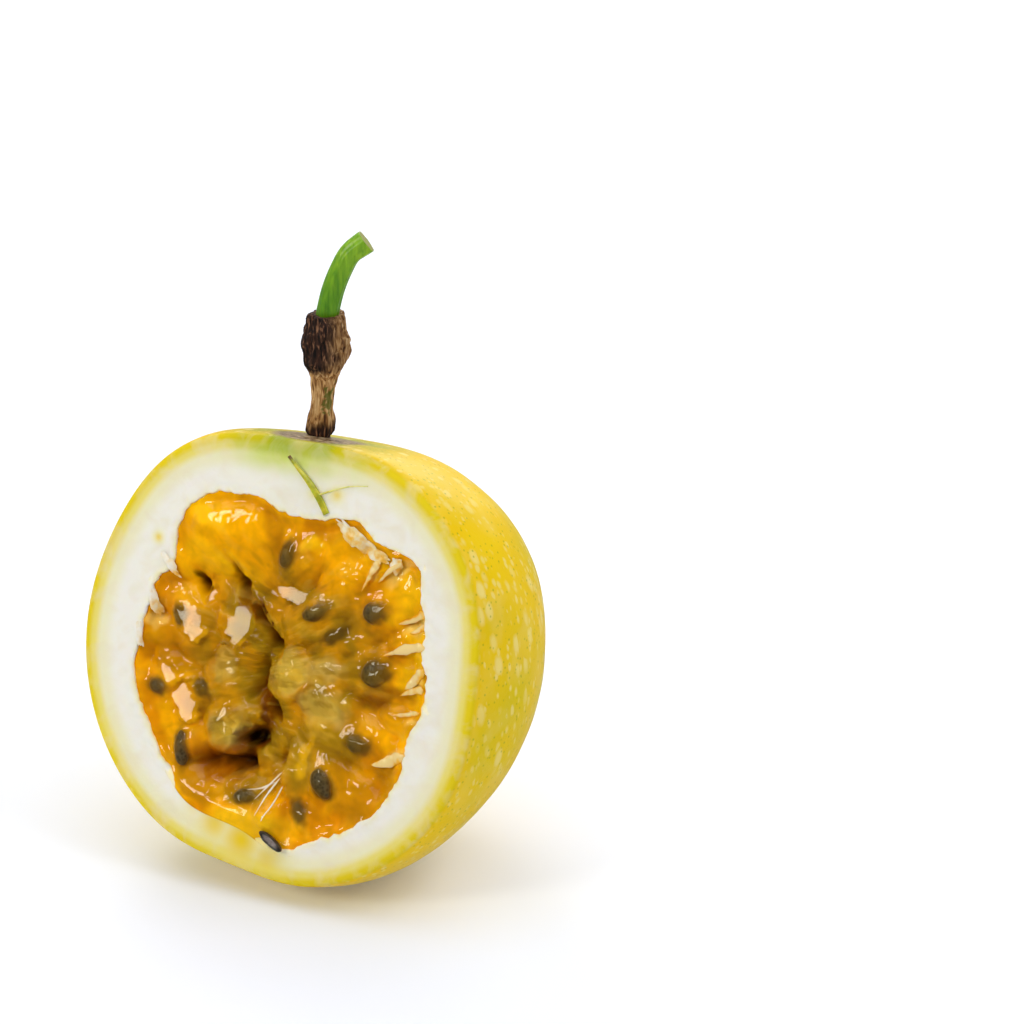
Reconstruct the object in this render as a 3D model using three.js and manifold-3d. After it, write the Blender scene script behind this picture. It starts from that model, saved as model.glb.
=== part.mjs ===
// A yellow passion fruit with its front cut away. It stands on a small flat spot, with its stalk up and its
// cut face leaning back. Millimetres, +Z up. The origin is the middle of the flat spot, and the cut face looks
// along -Y.
//
// rind         the skin and its pith, one grown piece, with the green strand that has peeled off the pith
// pulp         the juice sacs with the seeds inside them, one mass that fills the hollow of the rind
// stalk_dry    the dry stalk on the fruit, with the withered base of the flower as its knob
// stalk_green  the fresh stalk that the fruit hung from
//
// The fruit is drawn in its own frame: its middle is the origin, z is square to the cut and points out of it,
// x runs to the right across the cut face, and y runs up it. Angles in the lists are in degrees.

import * as THREE from "three";
import { mergeVertices } from "three/addons/utils/BufferGeometryUtils.js";
import Module from "manifold-3d";

// Driving dimensions
const FRUIT_R = 38; // the fruit's radius, square to the cut's axis
const BACK_R = 38.6; // its radius along that axis, behind its middle
const CUT_Z = 9.25; // the cut plane
const LEAN_BACK = 15; // the cut face leans back from upright
const SPOT_SINK = 1.5; // how deep the flat spot cuts into the round
const HOLLOW_R = 28.9; // the hollow that holds the pulp
const GAP = 0.3; // between pieces that touch

// The skin is pressed in, or bulges where the depth is below zero: [turn, from the cut's axis, reach, depth]
const STALK_AT = { turn: 92.5, from: 88.4 };
const SKIN_DENTS = [
  [STALK_AT.turn, STALK_AT.from, 18, 2.4],
  [STALK_AT.turn, STALK_AT.from, 8, -0.9],
  [88, 101, 22, 1.8],
  [128, 75, 20, -1.2],
  [-98, 80, 16, 1.6],
  [-72, 110, 22, -0.8],
  [0, 68, 24, 2.6],
  [34, 114, 22, -1.4],
  [-40, 112, 24, 0.5],
  [160, 74, 26, 0.4],
];

// The mouth of the hollow, where the pith reaches in or falls back: [turn, half-width, rise]
const MOUTH_R = 27.4;
const MOUTH_LOBES = [
  [126, 11, 1.6],
  [94, 12, -4.1],
  [78, 10, -3.0],
  [57, 9, -1.3],
  [40, 6, 2.1],
  [23, 8, 1.1],
  [12, 15, -2.2],
  [-19, 10, -2.2],
  [-58, 21, 1.8],
  [-82, 10, 2.8],
  [-118, 12, 1.2],
  [151, 8, -3.0],
  [172, 14, -2.1],
];

// Juice sacs that show: [x, y, turn of the long axis, half-length, half-width, rise]
const SACS = [
  [-13.5, 18.0, 165, 9.0, 7.0, 2.6],
  [-20.0, 13.5, 70, 5.5, 4.0, 1.8],
  [-6.5, 17.5, 100, 8.0, 4.6, 2.1],
  [0.8, 16.2, 78, 7.0, 4.6, 1.9],
  [8.0, 19.0, 60, 6.0, 4.0, 1.5],
  [9.8, 14.0, 48, 6.5, 4.4, 1.6],
  [15.5, 17.0, 45, 5.5, 3.6, 1.4],
  [20.5, 14.0, 34, 6.0, 4.0, 1.5],
  [5.0, 7.4, 28, 7.0, 4.6, 2.1],
  [15.5, 9.8, 24, 6.5, 4.8, 1.7],
  [9.6, 4.0, 28, 6.8, 3.4, 1.5],
  [16.8, 0.4, 4, 6.8, 5.0, 1.7],
  [9.2, -1.0, 8, 6.2, 3.0, 1.4],
  [1.3, -2.6, 62, 5.2, 3.8, 2.5],
  [8.4, -5.4, -8, 6.4, 3.8, 1.8],
  [10.4, -10.6, -18, 7.0, 3.8, 1.6],
  [17.2, -10.9, -24, 6.6, 4.2, 1.6],
  [9.8, -18.3, -62, 6.6, 4.6, 2.0],
  [4.4, -18.8, -84, 6.4, 3.0, 1.7],
  [15.2, -21.0, -50, 6.2, 4.6, 1.5],
  [7.6, -25.6, -72, 4.0, 5.0, 1.4],
  [0.6, -26.2, -72, 3.8, 4.0, 3.9],
  [-8.0, 3.6, 100, 7.0, 4.8, 2.1],
  [-16.8, 2.4, 112, 7.0, 4.4, 2.0],
  [-9.6, -5.6, 88, 6.6, 4.8, 2.0],
  [-8.3, -12.6, 58, 6.0, 4.8, 3.0],
  [-18.2, -7.6, 138, 7.0, 4.2, 1.8],
  [-22.2, -9.6, 160, 4.4, 3.2, 1.4],
  [-15.8, -17.2, 104, 6.4, 3.8, 1.9],
  [-20.4, -14.0, 122, 5.4, 3.4, 1.4],
  [-9.4, -22.6, 8, 6.4, 3.6, 1.6],
  [-3.4, -23.8, 12, 4.2, 3.0, 1.5],
];
// A row of small sacs lies along the wall, their long axes towards the middle.
const WALL_SACS = { count: 22, inset: 3.2, halfLength: 3.8, halfWidth: 2.8, rise: 1.2 };

// Seeds that stand up through their sacs: [x, y, turn, rise]
const SEED = { length: 5.2, width: 3.4 };
const SEEDS = [
  [-1.0, 16.7, 75, 0.3],
  [5.3, 8.4, 28, 0.5],
  [8.6, 5.2, 32, 0.3],
  [15.7, 10.2, 20, 0.7],
  [16.8, 0.5, 15, 0.6],
  [15.2, -11.3, -10, 0.5],
  [9.8, -18.7, -58, 0.8],
  [-16.4, -17.9, 98, 0.6],
  [-22.1, -8.8, -20, 0.4],
  [-19.4, 3.5, 100, 0.3],
  [-14.4, -7.7, -30, 0.3],
  [-3.9, -23.6, 10, 0.6],
  [5.9, -24.0, -60, 0.3],
];
// One seed, cut in half, has come loose and lies flat over the lower edge of the pulp.
const LOOSE_SEED = { x: 2.5, y: -29.2, turn: -32, length: 5.0, width: 2.1, thick: 1.5 };

// Clefts and holes between the sacs: [x, y, turn, half-length, half-width, depth]
const WELLS = [
  [-5.2, -14.5, 35, 3.6, 2.4, 6.0],
  [-6.0, -18.8, 0, 3.2, 1.7, 4.0],
  [1.0, -16.4, 60, 3.0, 1.4, 2.0],
  [-10.4, -19.4, 8, 5.4, 1.6, 2.6],
  [-16.2, 9.2, 112, 2.4, 1.1, 3.0],
  [-9.6, 10.6, 118, 4.2, 1.0, 3.0],
  [-5.8, 6.2, 124, 4.4, 1.1, 3.0],
  [-2.4, 2.2, 140, 3.4, 1.1, 3.0],
  [-3.8, -4.4, 78, 3.8, 1.1, 3.0],
  [-1.6, -8.8, -60, 3.2, 1.3, 3.4],
];
const PULP_BED = -1.9; // the pulp between the sacs, against the cut plane
const SAC_BLEND = 2.6; // how sharply sacs part, per millimetre: higher is sharper

// The green strand on the pith, from its loose upper end to the pulp: [x, y, height of its middle on the cut face]
const STRAND = [
  [-1.7, 32.5, 1.1],
  [-0.1, 30.8, 0.7],
  [2.1, 28.7, 0.3],
  [4.0, 26.6, 0.2],
  [5.6, 24.3, 0.1],
];
const STRAND_R = 0.5;

// The stalk, upright from its foot. It leans, and its green end bends, towards this direction of the frame.
const STALK_LEAN_TOWARDS = 30; // degrees from +X towards +Y
const STALK_ROOT = 2.0; // how deep the dry stalk sits in its socket
const STALK_DRY = [
  // [height, radius]
  [-STALK_ROOT, 1.75],
  [0.0, 1.75],
  [0.8, 2.15],
  [2.5, 2.1],
  [4.4, 1.9],
  [6.3, 1.82],
  [8.2, 1.87],
  [10.0, 2.1],
  [11.4, 2.8],
  [12.9, 3.4],
  [15.8, 3.65],
  [18.1, 3.5],
  [19.7, 3.1],
  [20.6, 2.65],
];
const STALK_LEAN = 0.08; // sideways for each millimetre up
const KNOB_TOP = STALK_DRY.at(-1)[0];
const GREEN_R = 1.8;
const GREEN_PATH = [
  // [sideways, up] from the middle of the knob's top; its foot sits in a plain hole in the knob
  [-0.15, -1.6],
  [0.05, 0.2],
  [1.05, 4.1],
  [2.5, 7.6],
  [3.9, 9.9],
  [6.3, 11.7],
];

// Fineness of the meshes
const SECTORS = 64;
const PULP_SECTORS = 80;
const PULP_RINGS = 24;
const SKIN_RINGS = 22;
const HOLLOW_RINGS = 9;
const STALK_SIDES = 20;

const wasm = await Module();
wasm.setup();
const { degToRad } = THREE.MathUtils;

// ---- Solids ----

// A closed surface through rings of points, each ring drawn out to a single point at both ends.
function surfaceThrough(start, rings, end) {
  const sides = rings[0].length;
  const points = [start, ...rings.flat(), end];
  const last = points.length - 1;
  const index = [];
  const at = (ring, k) => 1 + ring * sides + (k % sides);
  for (let k = 0; k < sides; k++) {
    index.push(0, at(0, k + 1), at(0, k));
    for (let r = 0; r + 1 < rings.length; r++) {
      index.push(at(r, k), at(r, k + 1), at(r + 1, k));
      index.push(at(r, k + 1), at(r + 1, k + 1), at(r + 1, k));
    }
    index.push(last, at(rings.length - 1, k), at(rings.length - 1, k + 1));
  }
  return new THREE.BufferGeometry().setFromPoints(points).setIndex(index);
}

function solidOf(geometry) {
  const bare = geometry.clone();
  bare.deleteAttribute("normal");
  bare.deleteAttribute("uv");
  const merged = mergeVertices(bare, 1e-4);
  const vertProperties = Float32Array.from(merged.attributes.position.array);
  const solid = new wasm.Manifold(
    new wasm.Mesh({ numProp: 3, vertProperties, triVerts: Uint32Array.from(merged.index.array) }),
  );
  return solid;
}

function geometryOf(solid) {
  const { vertProperties, triVerts } = solid.getMesh();
  return new THREE.BufferGeometry()
    .setAttribute("position", new THREE.BufferAttribute(vertProperties, 3))
    .setIndex(new THREE.BufferAttribute(triVerts, 1));
}

function named(name, geometry, color, roughness) {
  const shaded = geometry.index ? geometry.toNonIndexed() : geometry;
  shaded.computeVertexNormals();
  const mesh = new THREE.Mesh(
    shaded,
    new THREE.MeshStandardMaterial({ color, roughness, metalness: 0 }),
  );
  mesh.name = name;
  return mesh;
}

// ---- The fruit's shape ----

// A direction from the fruit's middle: turn runs round the cut's axis, and from is the angle from that axis.
function direction(turn, from) {
  const ring = Math.sin(from);
  return new THREE.Vector3(ring * Math.cos(turn), ring * Math.sin(turn), Math.cos(from));
}

function skinPoint(turn, from) {
  const towards = direction(turn, from);
  let swell = 1;
  for (const [dentTurn, dentFrom, reach, depth] of SKIN_DENTS) {
    const away = towards.angleTo(direction(degToRad(dentTurn), degToRad(dentFrom))) / degToRad(reach);
    swell -= (depth / FRUIT_R) * Math.exp(-away * away);
  }
  const deep = towards.z > 0 ? FRUIT_R : BACK_R;
  return new THREE.Vector3(
    FRUIT_R * swell * towards.x,
    FRUIT_R * swell * towards.y,
    deep * towards.z,
  );
}

// How far the mouth reaches past a round one, at a turn round the cut's axis.
function mouthRise(turn) {
  let rise = MOUTH_R - Math.sqrt(HOLLOW_R ** 2 - CUT_Z ** 2);
  for (const [at, halfWidth, height] of MOUTH_LOBES) {
    const away = THREE.MathUtils.euclideanModulo(turn - degToRad(at) + Math.PI, 2 * Math.PI) - Math.PI;
    rise += height * Math.exp(-((away / degToRad(halfWidth)) ** 2));
  }
  return rise;
}

// The wall of the hollow, from share 0 at its mouth to 1 at its back. The mouth's lobes fade out behind it.
function hollowPoint(turn, share, inset) {
  const mouthFrom = Math.acos(CUT_Z / HOLLOW_R);
  const towards = direction(turn, THREE.MathUtils.lerp(mouthFrom, Math.PI, share));
  const mouthR = HOLLOW_R * Math.sin(mouthFrom);
  const lobes = 1 + (mouthRise(turn) / mouthR) * (1 - share) ** 2;
  const size = (HOLLOW_R - inset) * lobes;
  const z = share === 0 ? CUT_Z : (HOLLOW_R - inset) * towards.z;
  return new THREE.Vector3(size * towards.x, size * towards.y, z);
}

function turns(count) {
  return Array.from({ length: count }, (_, k) => (2 * Math.PI * k) / count);
}

// ---- The pulp's surface ----

// How far a point lies out from the middle of an oval: 0 at its middle, 1 on its edge.
function ovalReach(x, y, [atX, atY, turn, halfLength, halfWidth]) {
  const c = Math.cos(degToRad(turn));
  const s = Math.sin(degToRad(turn));
  const along = (c * (x - atX) + s * (y - atY)) / halfLength;
  const across = (-s * (x - atX) + c * (y - atY)) / halfWidth;
  return Math.hypot(along, across);
}

// A sac's round back, from 1 at its middle to 0 at its edge.
function dome(reach) {
  return Math.max(0, 1 - reach * reach) ** 0.75;
}

const wallSacs = turns(WALL_SACS.count).map((turn) => {
  const { inset, halfLength, halfWidth, rise } = WALL_SACS;
  const r = MOUTH_R + mouthRise(turn) - inset;
  const turnDegrees = THREE.MathUtils.radToDeg(turn);
  return [r * Math.cos(turn), r * Math.sin(turn), turnDegrees, halfLength, halfWidth, rise];
});

// The pulp's height against the cut plane: sacs that blend into each other, seeds on them, clefts between them.
function pulpHeight(x, y) {
  let sum = 1;
  for (const sac of [...SACS, ...wallSacs]) {
    sum += Math.exp(SAC_BLEND * sac[5] * dome(ovalReach(x, y, sac))) - 1;
  }
  let height = PULP_BED + Math.log(sum) / SAC_BLEND;
  for (const [atX, atY, turn, rise] of SEEDS) {
    height += rise * dome(ovalReach(x, y, [atX, atY, turn, SEED.length / 2, SEED.width / 2]));
  }
  for (const well of WELLS) {
    height -= well[5] * Math.exp(-((1.2 * ovalReach(x, y, well)) ** 2));
  }
  return height;
}

// ---- Pieces ----

function looseSeed() {
  const { x, y, turn, length, width, thick } = LOOSE_SEED;
  const seed = new THREE.SphereGeometry(0.5, 12, 8);
  seed.scale(length, width, thick);
  seed.rotateZ(degToRad(turn));
  return seed.translate(x, y, CUT_Z + GAP + thick / 2);
}

function pulp() {
  const around = turns(PULP_SECTORS);
  const front = [];
  for (let ring = PULP_RINGS; ring >= 1; ring--) {
    const share = ring / PULP_RINGS;
    front.push(
      around.map((turn) => {
        const edge = hollowPoint(turn, 0, GAP);
        const x = edge.x * share;
        const y = edge.y * share;
        return new THREE.Vector3(x, y, CUT_Z + pulpHeight(x, y));
      }),
    );
  }
  const wall = [];
  for (let ring = HOLLOW_RINGS - 1; ring >= 1; ring--) {
    const share = ring / HOLLOW_RINGS;
    wall.push(around.map((turn) => hollowPoint(turn, share, GAP)));
  }
  const middle = new THREE.Vector3(0, 0, CUT_Z + pulpHeight(0, 0));
  const back = new THREE.Vector3(0, 0, GAP - HOLLOW_R);
  const mass = solidOf(surfaceThrough(back, [...wall, ...front], middle));
  return mass.add(solidOf(looseSeed()));
}

function strand() {
  const path = new THREE.CatmullRomCurve3(
    STRAND.map(([x, y, height]) => new THREE.Vector3(x, y, CUT_Z + height)),
  );
  const section = new THREE.Shape().absarc(0, 0, STRAND_R, 0, 2 * Math.PI);
  return new THREE.ExtrudeGeometry(section, { extrudePath: path, steps: 14, curveSegments: 7 });
}

function rind(toWorld, socket) {
  const around = turns(SECTORS);
  const edgeFrom = Math.acos(CUT_Z / FRUIT_R);
  const skin = [];
  for (let ring = 1; ring <= SKIN_RINGS; ring++) {
    const from = THREE.MathUtils.lerp(Math.PI, edgeFrom, ring / SKIN_RINGS);
    skin.push(around.map((turn) => skinPoint(turn, from)));
  }
  const wall = [];
  for (let ring = 0; ring < HOLLOW_RINGS; ring++) {
    wall.push(around.map((turn) => hollowPoint(turn, ring / HOLLOW_RINGS, 0)));
  }
  const skinBack = new THREE.Vector3(0, 0, -BACK_R);
  const hollowBack = new THREE.Vector3(0, 0, -HOLLOW_R);
  const shell = surfaceThrough(skinBack, [...skin, ...wall], hollowBack);

  const floor = new THREE.BoxGeometry(4 * FRUIT_R, 4 * FRUIT_R, FRUIT_R);
  floor.translate(0, 0, -FRUIT_R / 2);
  floor.applyMatrix4(toWorld.clone().invert());
  socket.applyMatrix4(toWorld.clone().invert());
  return solidOf(shell)
    .subtract(solidOf(floor))
    .subtract(solidOf(socket))
    .add(solidOf(strand()));
}

// A surface of uneven, ribbed rings round an upright line that leans.
function stalkSurface(profile, swell, sides) {
  const rings = profile.map(([height, radius]) =>
    turns(sides).map((turn) => {
      const r = radius * swell(turn, height);
      return new THREE.Vector3(r * Math.cos(turn) + STALK_LEAN * height, r * Math.sin(turn), height);
    }),
  );
  const [foot, top] = [profile[0][0], profile.at(-1)[0]];
  const start = new THREE.Vector3(STALK_LEAN * foot, 0, foot);
  const end = new THREE.Vector3(STALK_LEAN * top, 0, top);
  return surfaceThrough(start, rings, end);
}

function barkSwell(turn, height) {
  const fluting = 0.05 * Math.sin(5 * turn + 0.25 * height) + 0.04 * Math.sin(9 * turn - 0.4 * height);
  const lumps = 0.05 * Math.sin(2 * turn + 0.9 * height) + 0.03 * Math.sin(3 * turn - 1.7 * height);
  return 1 + (height > 0 ? fluting + lumps : 0);
}

function greenStalk() {
  const foot = STALK_LEAN * KNOB_TOP;
  const path = new THREE.CatmullRomCurve3(
    GREEN_PATH.map(([sideways, up]) => new THREE.Vector3(foot + sideways, 0, KNOB_TOP + up)),
  );
  const section = new THREE.Shape().absarc(0, 0, GREEN_R, 0, 2 * Math.PI);
  return new THREE.ExtrudeGeometry(section, { extrudePath: path, steps: 14, curveSegments: 8 });
}

// A plain round hole for what stands in it, from its floor up.
function plainHole(radius, depth, floor) {
  const hole = new THREE.CylinderGeometry(radius + GAP, radius + GAP, depth, STALK_SIDES);
  hole.rotateX(Math.PI / 2);
  return hole.translate(0, 0, floor + depth / 2);
}

function dryStalk() {
  const hole = plainHole(GREEN_R, 4, KNOB_TOP + GREEN_PATH[0][1] - GAP);
  hole.translate(STALK_LEAN * KNOB_TOP, 0, 0);
  return solidOf(stalkSurface(STALK_DRY, barkSwell, STALK_SIDES)).subtract(solidOf(hole));
}

function stalkSocket() {
  return plainHole(STALK_DRY[1][1], 2 * STALK_ROOT + GAP, -STALK_ROOT - GAP);
}

// ---- Assembly ----

// The fruit leans back, and its lowest point is over the origin, as deep under the floor as the flat spot cuts.
const lean = degToRad(LEAN_BACK);
const underside = Math.hypot(BACK_R * Math.sin(lean), FRUIT_R * Math.cos(lean));
const lowestBehind = ((BACK_R ** 2 - FRUIT_R ** 2) * Math.sin(lean) * Math.cos(lean)) / underside;
const fruit = new THREE.Group();
fruit.rotation.x = Math.PI / 2 - lean;
fruit.position.set(0, -lowestBehind, underside - SPOT_SINK);

// The stalk's foot is on the skin, and the stalk is upright whatever the fruit's lean.
const stalk = new THREE.Group();
fruit.updateMatrixWorld(true);
const foot = skinPoint(degToRad(STALK_AT.turn), degToRad(STALK_AT.from));
stalk.position.copy(foot.applyMatrix4(fruit.matrixWorld));
stalk.rotation.z = degToRad(STALK_LEAN_TOWARDS);
stalk.updateMatrixWorld(true);

const socketInWorld = stalkSocket().applyMatrix4(stalk.matrixWorld);
fruit.add(
  named("rind", geometryOf(rind(fruit.matrixWorld, socketInWorld)), 0xd9cf3e, 0.35),
  named("pulp", geometryOf(pulp()), 0xd98a10, 0.15),
);
stalk.add(
  named("stalk_dry", geometryOf(dryStalk()), 0x7a5a3c, 0.85),
  named("stalk_green", greenStalk(), 0x6f9a22, 0.5),
);

const passionFruit = new THREE.Group();
passionFruit.add(fruit, stalk);

export default passionFruit;
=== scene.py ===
"""The looks of a yellow passion fruit whose front is cut away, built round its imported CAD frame.

The CAD's own values are repeated in millimetres and degrees. The fruit is drawn in its own frame: its middle
is the origin, z is square to the cut and points out of it, x runs right across the cut face and y runs up it.
A number added to the points of a noise only takes that noise from a place of its own.
"""

import math

import bpy
import numpy as np
from mathutils import Matrix, Vector, noise


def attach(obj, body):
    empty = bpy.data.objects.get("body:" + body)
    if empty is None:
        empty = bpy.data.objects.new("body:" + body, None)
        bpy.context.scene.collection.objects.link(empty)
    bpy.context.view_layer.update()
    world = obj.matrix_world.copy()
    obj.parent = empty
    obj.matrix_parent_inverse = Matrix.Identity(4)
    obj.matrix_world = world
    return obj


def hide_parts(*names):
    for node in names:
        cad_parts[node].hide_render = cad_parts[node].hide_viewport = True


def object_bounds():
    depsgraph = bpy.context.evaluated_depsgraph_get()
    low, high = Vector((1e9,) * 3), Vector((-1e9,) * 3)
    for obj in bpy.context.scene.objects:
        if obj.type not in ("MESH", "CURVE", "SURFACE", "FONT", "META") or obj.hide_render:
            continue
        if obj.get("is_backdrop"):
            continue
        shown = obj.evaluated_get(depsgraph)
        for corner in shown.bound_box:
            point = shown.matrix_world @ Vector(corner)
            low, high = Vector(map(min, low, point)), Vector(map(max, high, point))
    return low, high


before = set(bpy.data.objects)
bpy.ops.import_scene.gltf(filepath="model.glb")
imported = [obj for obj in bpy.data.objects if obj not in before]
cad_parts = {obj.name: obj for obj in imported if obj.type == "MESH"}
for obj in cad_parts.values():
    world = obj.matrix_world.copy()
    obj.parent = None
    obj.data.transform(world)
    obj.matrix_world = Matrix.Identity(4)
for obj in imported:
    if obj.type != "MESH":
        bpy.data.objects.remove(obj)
CAD_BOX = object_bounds()
MM = 0.001

# ---- The fruit, as the CAD has it ----

FRUIT_R = 38.0  # square to the cut's axis
BACK_R = 38.6  # along that axis, behind the middle
CUT_Z = 9.25  # how far in front of the middle the cut lies
LEAN_BACK = math.radians(15)
SPOT_SINK = 1.5  # how much of the underside the flat spot takes off
HOLLOW_R = 28.9
# the round underside's lowest point: how far under the middle it lies, and how far behind
UNDERSIDE = math.hypot(BACK_R * math.sin(LEAN_BACK), FRUIT_R * math.cos(LEAN_BACK))
LOWEST_BEHIND = (BACK_R**2 - FRUIT_R**2) * math.sin(LEAN_BACK) * math.cos(LEAN_BACK) / UNDERSIDE
MIDDLE = Vector((0, -LOWEST_BEHIND, UNDERSIDE - SPOT_SINK))  # in the row frame

STALK_AT = (92.5, 88.4)  # turn, angle from the cut's axis
SKIN_DENTS = [  # turn, from, reach, depth
    (*STALK_AT, 18, 2.4), (*STALK_AT, 8, -0.9), (88, 101, 22, 1.8), (128, 75, 20, -1.2),
    (-98, 80, 16, 1.6), (-72, 110, 22, -0.8), (0, 68, 24, 2.6), (34, 114, 22, -1.4), (-40, 112, 24, 0.5),
    (160, 74, 26, 0.4),
]

MOUTH_R = 27.4
MOUTH_LOBES = [  # turn, half-width, rise
    (126, 11, 1.6), (94, 12, -4.1), (78, 10, -3.0), (57, 9, -1.3), (40, 6, 2.1), (23, 8, 1.1),
    (12, 15, -2.2), (-19, 10, -2.2), (-58, 21, 1.8), (-82, 10, 2.8), (-118, 12, 1.2), (151, 8, -3.0),
    (172, 14, -2.1),
]

SACS = [  # x, y, turn, half-length, half-width, rise
    (-13.5, 18.0, 165, 9.0, 7.0, 2.6), (-20.0, 13.5, 70, 5.5, 4.0, 1.8), (-6.5, 17.5, 100, 8.0, 4.6, 2.1),
    (0.8, 16.2, 78, 7.0, 4.6, 1.9), (8.0, 19.0, 60, 6.0, 4.0, 1.5), (9.8, 14.0, 48, 6.5, 4.4, 1.6),
    (15.5, 17.0, 45, 5.5, 3.6, 1.4), (20.5, 14.0, 34, 6.0, 4.0, 1.5), (5.0, 7.4, 28, 7.0, 4.6, 2.1),
    (15.5, 9.8, 24, 6.5, 4.8, 1.7), (9.6, 4.0, 28, 6.8, 3.4, 1.5), (16.8, 0.4, 4, 6.8, 5.0, 1.7),
    (9.2, -1.0, 8, 6.2, 3.0, 1.4), (1.3, -2.6, 62, 5.2, 3.8, 2.5), (8.4, -5.4, -8, 6.4, 3.8, 1.8),
    (10.4, -10.6, -18, 7.0, 3.8, 1.6), (17.2, -10.9, -24, 6.6, 4.2, 1.6),
    (9.8, -18.3, -62, 6.6, 4.6, 2.0), (4.4, -18.8, -84, 6.4, 3.0, 1.7), (15.2, -21.0, -50, 6.2, 4.6, 1.5),
    (7.6, -25.6, -72, 4.0, 5.0, 1.4), (0.6, -26.2, -72, 3.8, 4.0, 3.9), (-8.0, 3.6, 100, 7.0, 4.8, 2.1),
    (-16.8, 2.4, 112, 7.0, 4.4, 2.0), (-9.6, -5.6, 88, 6.6, 4.8, 2.0), (-8.3, -12.6, 58, 6.0, 4.8, 3.0),
    (-18.2, -7.6, 138, 7.0, 4.2, 1.8), (-22.2, -9.6, 160, 4.4, 3.2, 1.4),
    (-15.8, -17.2, 104, 6.4, 3.8, 1.9), (-20.4, -14.0, 122, 5.4, 3.4, 1.4),
    (-9.4, -22.6, 8, 6.4, 3.6, 1.6), (-3.4, -23.8, 12, 4.2, 3.0, 1.5),
]
WALL_SACS = 22
WALL_SAC = (3.2, 3.8, 2.8, 1.2)  # inset, half-length, half-width, rise

SEED = (5.2, 3.4, 2.2)  # length, width, thickness
SEEDS = [  # x, y, turn, rise of the pulp over it, how far it shows through the bed, length, width
    (-1.0, 16.7, 75, 0.3, 0.15, 4.8, 2.8), (5.3, 8.4, 28, 0.5, 0.40, 5.0, 2.2),
    (8.6, 5.2, 32, 0.3, 0.00, 4.6, 2.4), (15.7, 10.2, 20, 0.7, 0.35, 4.2, 3.3),
    (16.8, 0.5, 15, 0.6, 0.25, 4.8, 4.0), (15.2, -11.3, -10, 0.5, 0.20, 4.8, 2.8),
    (9.8, -18.7, -58, 0.8, 0.75, 5.0, 3.1), (-16.4, -17.9, 98, 0.6, 0.35, 5.8, 2.3),
    (-22.1, -8.8, -20, 0.4, 0.35, 3.6, 2.6), (-19.4, 3.5, 100, 0.3, 0.00, 3.6, 2.6),
    (-14.4, -7.7, -30, 0.3, 0.10, 3.4, 2.4), (-3.9, -23.6, 10, 0.6, 0.40, 4.2, 1.9),
    (5.9, -24.0, -60, 0.3, 0.00, 4.2, 2.6),
]
LOOSE_SEED = (2.5, -29.3, -30, 4.9, 1.5, 1.2)  # x, y, turn, length, width, thickness
LOOSE_LIFT = 0.3  # how far it lies off the cut plane
WELLS = [  # x, y, turn, half-length, half-width, depth
    (-5.2, -14.5, 35, 3.6, 2.4, 6.0), (-6.0, -18.8, 0, 3.2, 1.7, 4.0), (1.0, -16.4, 60, 3.0, 1.4, 2.0),
    (-10.4, -19.4, 8, 5.4, 1.6, 2.6), (-16.2, 9.2, 112, 2.4, 1.1, 3.0), (-9.6, 10.6, 118, 4.2, 1.0, 3.0),
    (-5.8, 6.2, 124, 4.4, 1.1, 3.0), (-2.4, 2.2, 140, 3.4, 1.1, 3.0), (-3.8, -4.4, 78, 3.8, 1.1, 3.0),
    (-1.6, -8.8, -60, 3.2, 1.3, 3.4),
]
PULP_BED = -1.9  # the pulp's height between its sacs, against the cut
SAC_BLEND = 2.6  # how sharply neighbouring sacs meet

STALK_LEAN_TOWARDS = math.radians(30)
STALK_LEAN = 0.08
STALK_DRY = [  # height, radius
    (-2.0, 1.75), (0.0, 1.75), (0.8, 2.15), (2.5, 2.1), (4.4, 1.9), (6.3, 1.82), (8.2, 1.87), (10.0, 2.1),
    (11.4, 2.8), (12.9, 3.4), (15.8, 3.65), (18.1, 3.5), (19.7, 3.1), (20.6, 2.65),
]
KNOB_TOP = STALK_DRY[-1][0]
GREEN_R = 1.8
GREEN_PATH = [(-0.15, -1.6), (0.05, 0.2), (1.05, 4.1), (2.5, 7.6), (3.9, 9.9), (6.3, 11.7)]  # sideways, up

# ---- The camera, by the photograph's frame ----

FRAME_PX = 1024
MIDDLE_PX = (307.9, 651.8)  # where the fruit's middle lies in the photograph
PX_MM = 0.1616  # the fruit's size for each pixel, at its middle
LENS, SENSOR = 120.0, 36.0
SEEN_FROM = (30.3, 24.0)  # azimuth, elevation


# ---- Numbers and shapes ----

def colour(code):
    """A linear RGBA colour from its sRGB hex code."""
    parts = [int(code[k : k + 2], 16) / 255 for k in (1, 3, 5)]
    return (*(c / 12.92 if c <= 0.04045 else ((c + 0.055) / 1.055) ** 2.4 for c in parts), 1.0)


def rgb(code):
    return np.array(colour(code)[:3])


def smooth(x, low, high):
    """0 below low and 1 above high, with a smooth step between."""
    t = np.clip((x - low) / (high - low), 0, 1)
    return t * t * (3 - 2 * t)


def blend(a, b, share):
    return a + (b - a) * share


def bell(x):
    """1 at 0, and next to nothing past 2."""
    return np.exp(-(x**2))


def unit(vectors):
    return vectors / np.linalg.norm(vectors, axis=-1, keepdims=True)


def rough(points, size, octaves=3):
    """Noise from about -1 to 1 at each point; size is its largest lump, in the points' unit."""
    flat = np.asarray(points, float).reshape(-1, 3) / size
    values = [noise.fractal(Vector(p), 1.0, 2.0, octaves) for p in flat]
    return np.array(values).reshape(np.shape(points)[:-1])


def turns(sides):
    """The turns of a ring's points."""
    return np.linspace(0, 2 * math.pi, sides, endpoint=False)


def turned(turn, at):
    """How far a turn lies past one in degrees, from minus half a round to half a round."""
    return (turn - math.radians(at) + math.pi) % (2 * math.pi) - math.pi


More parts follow.
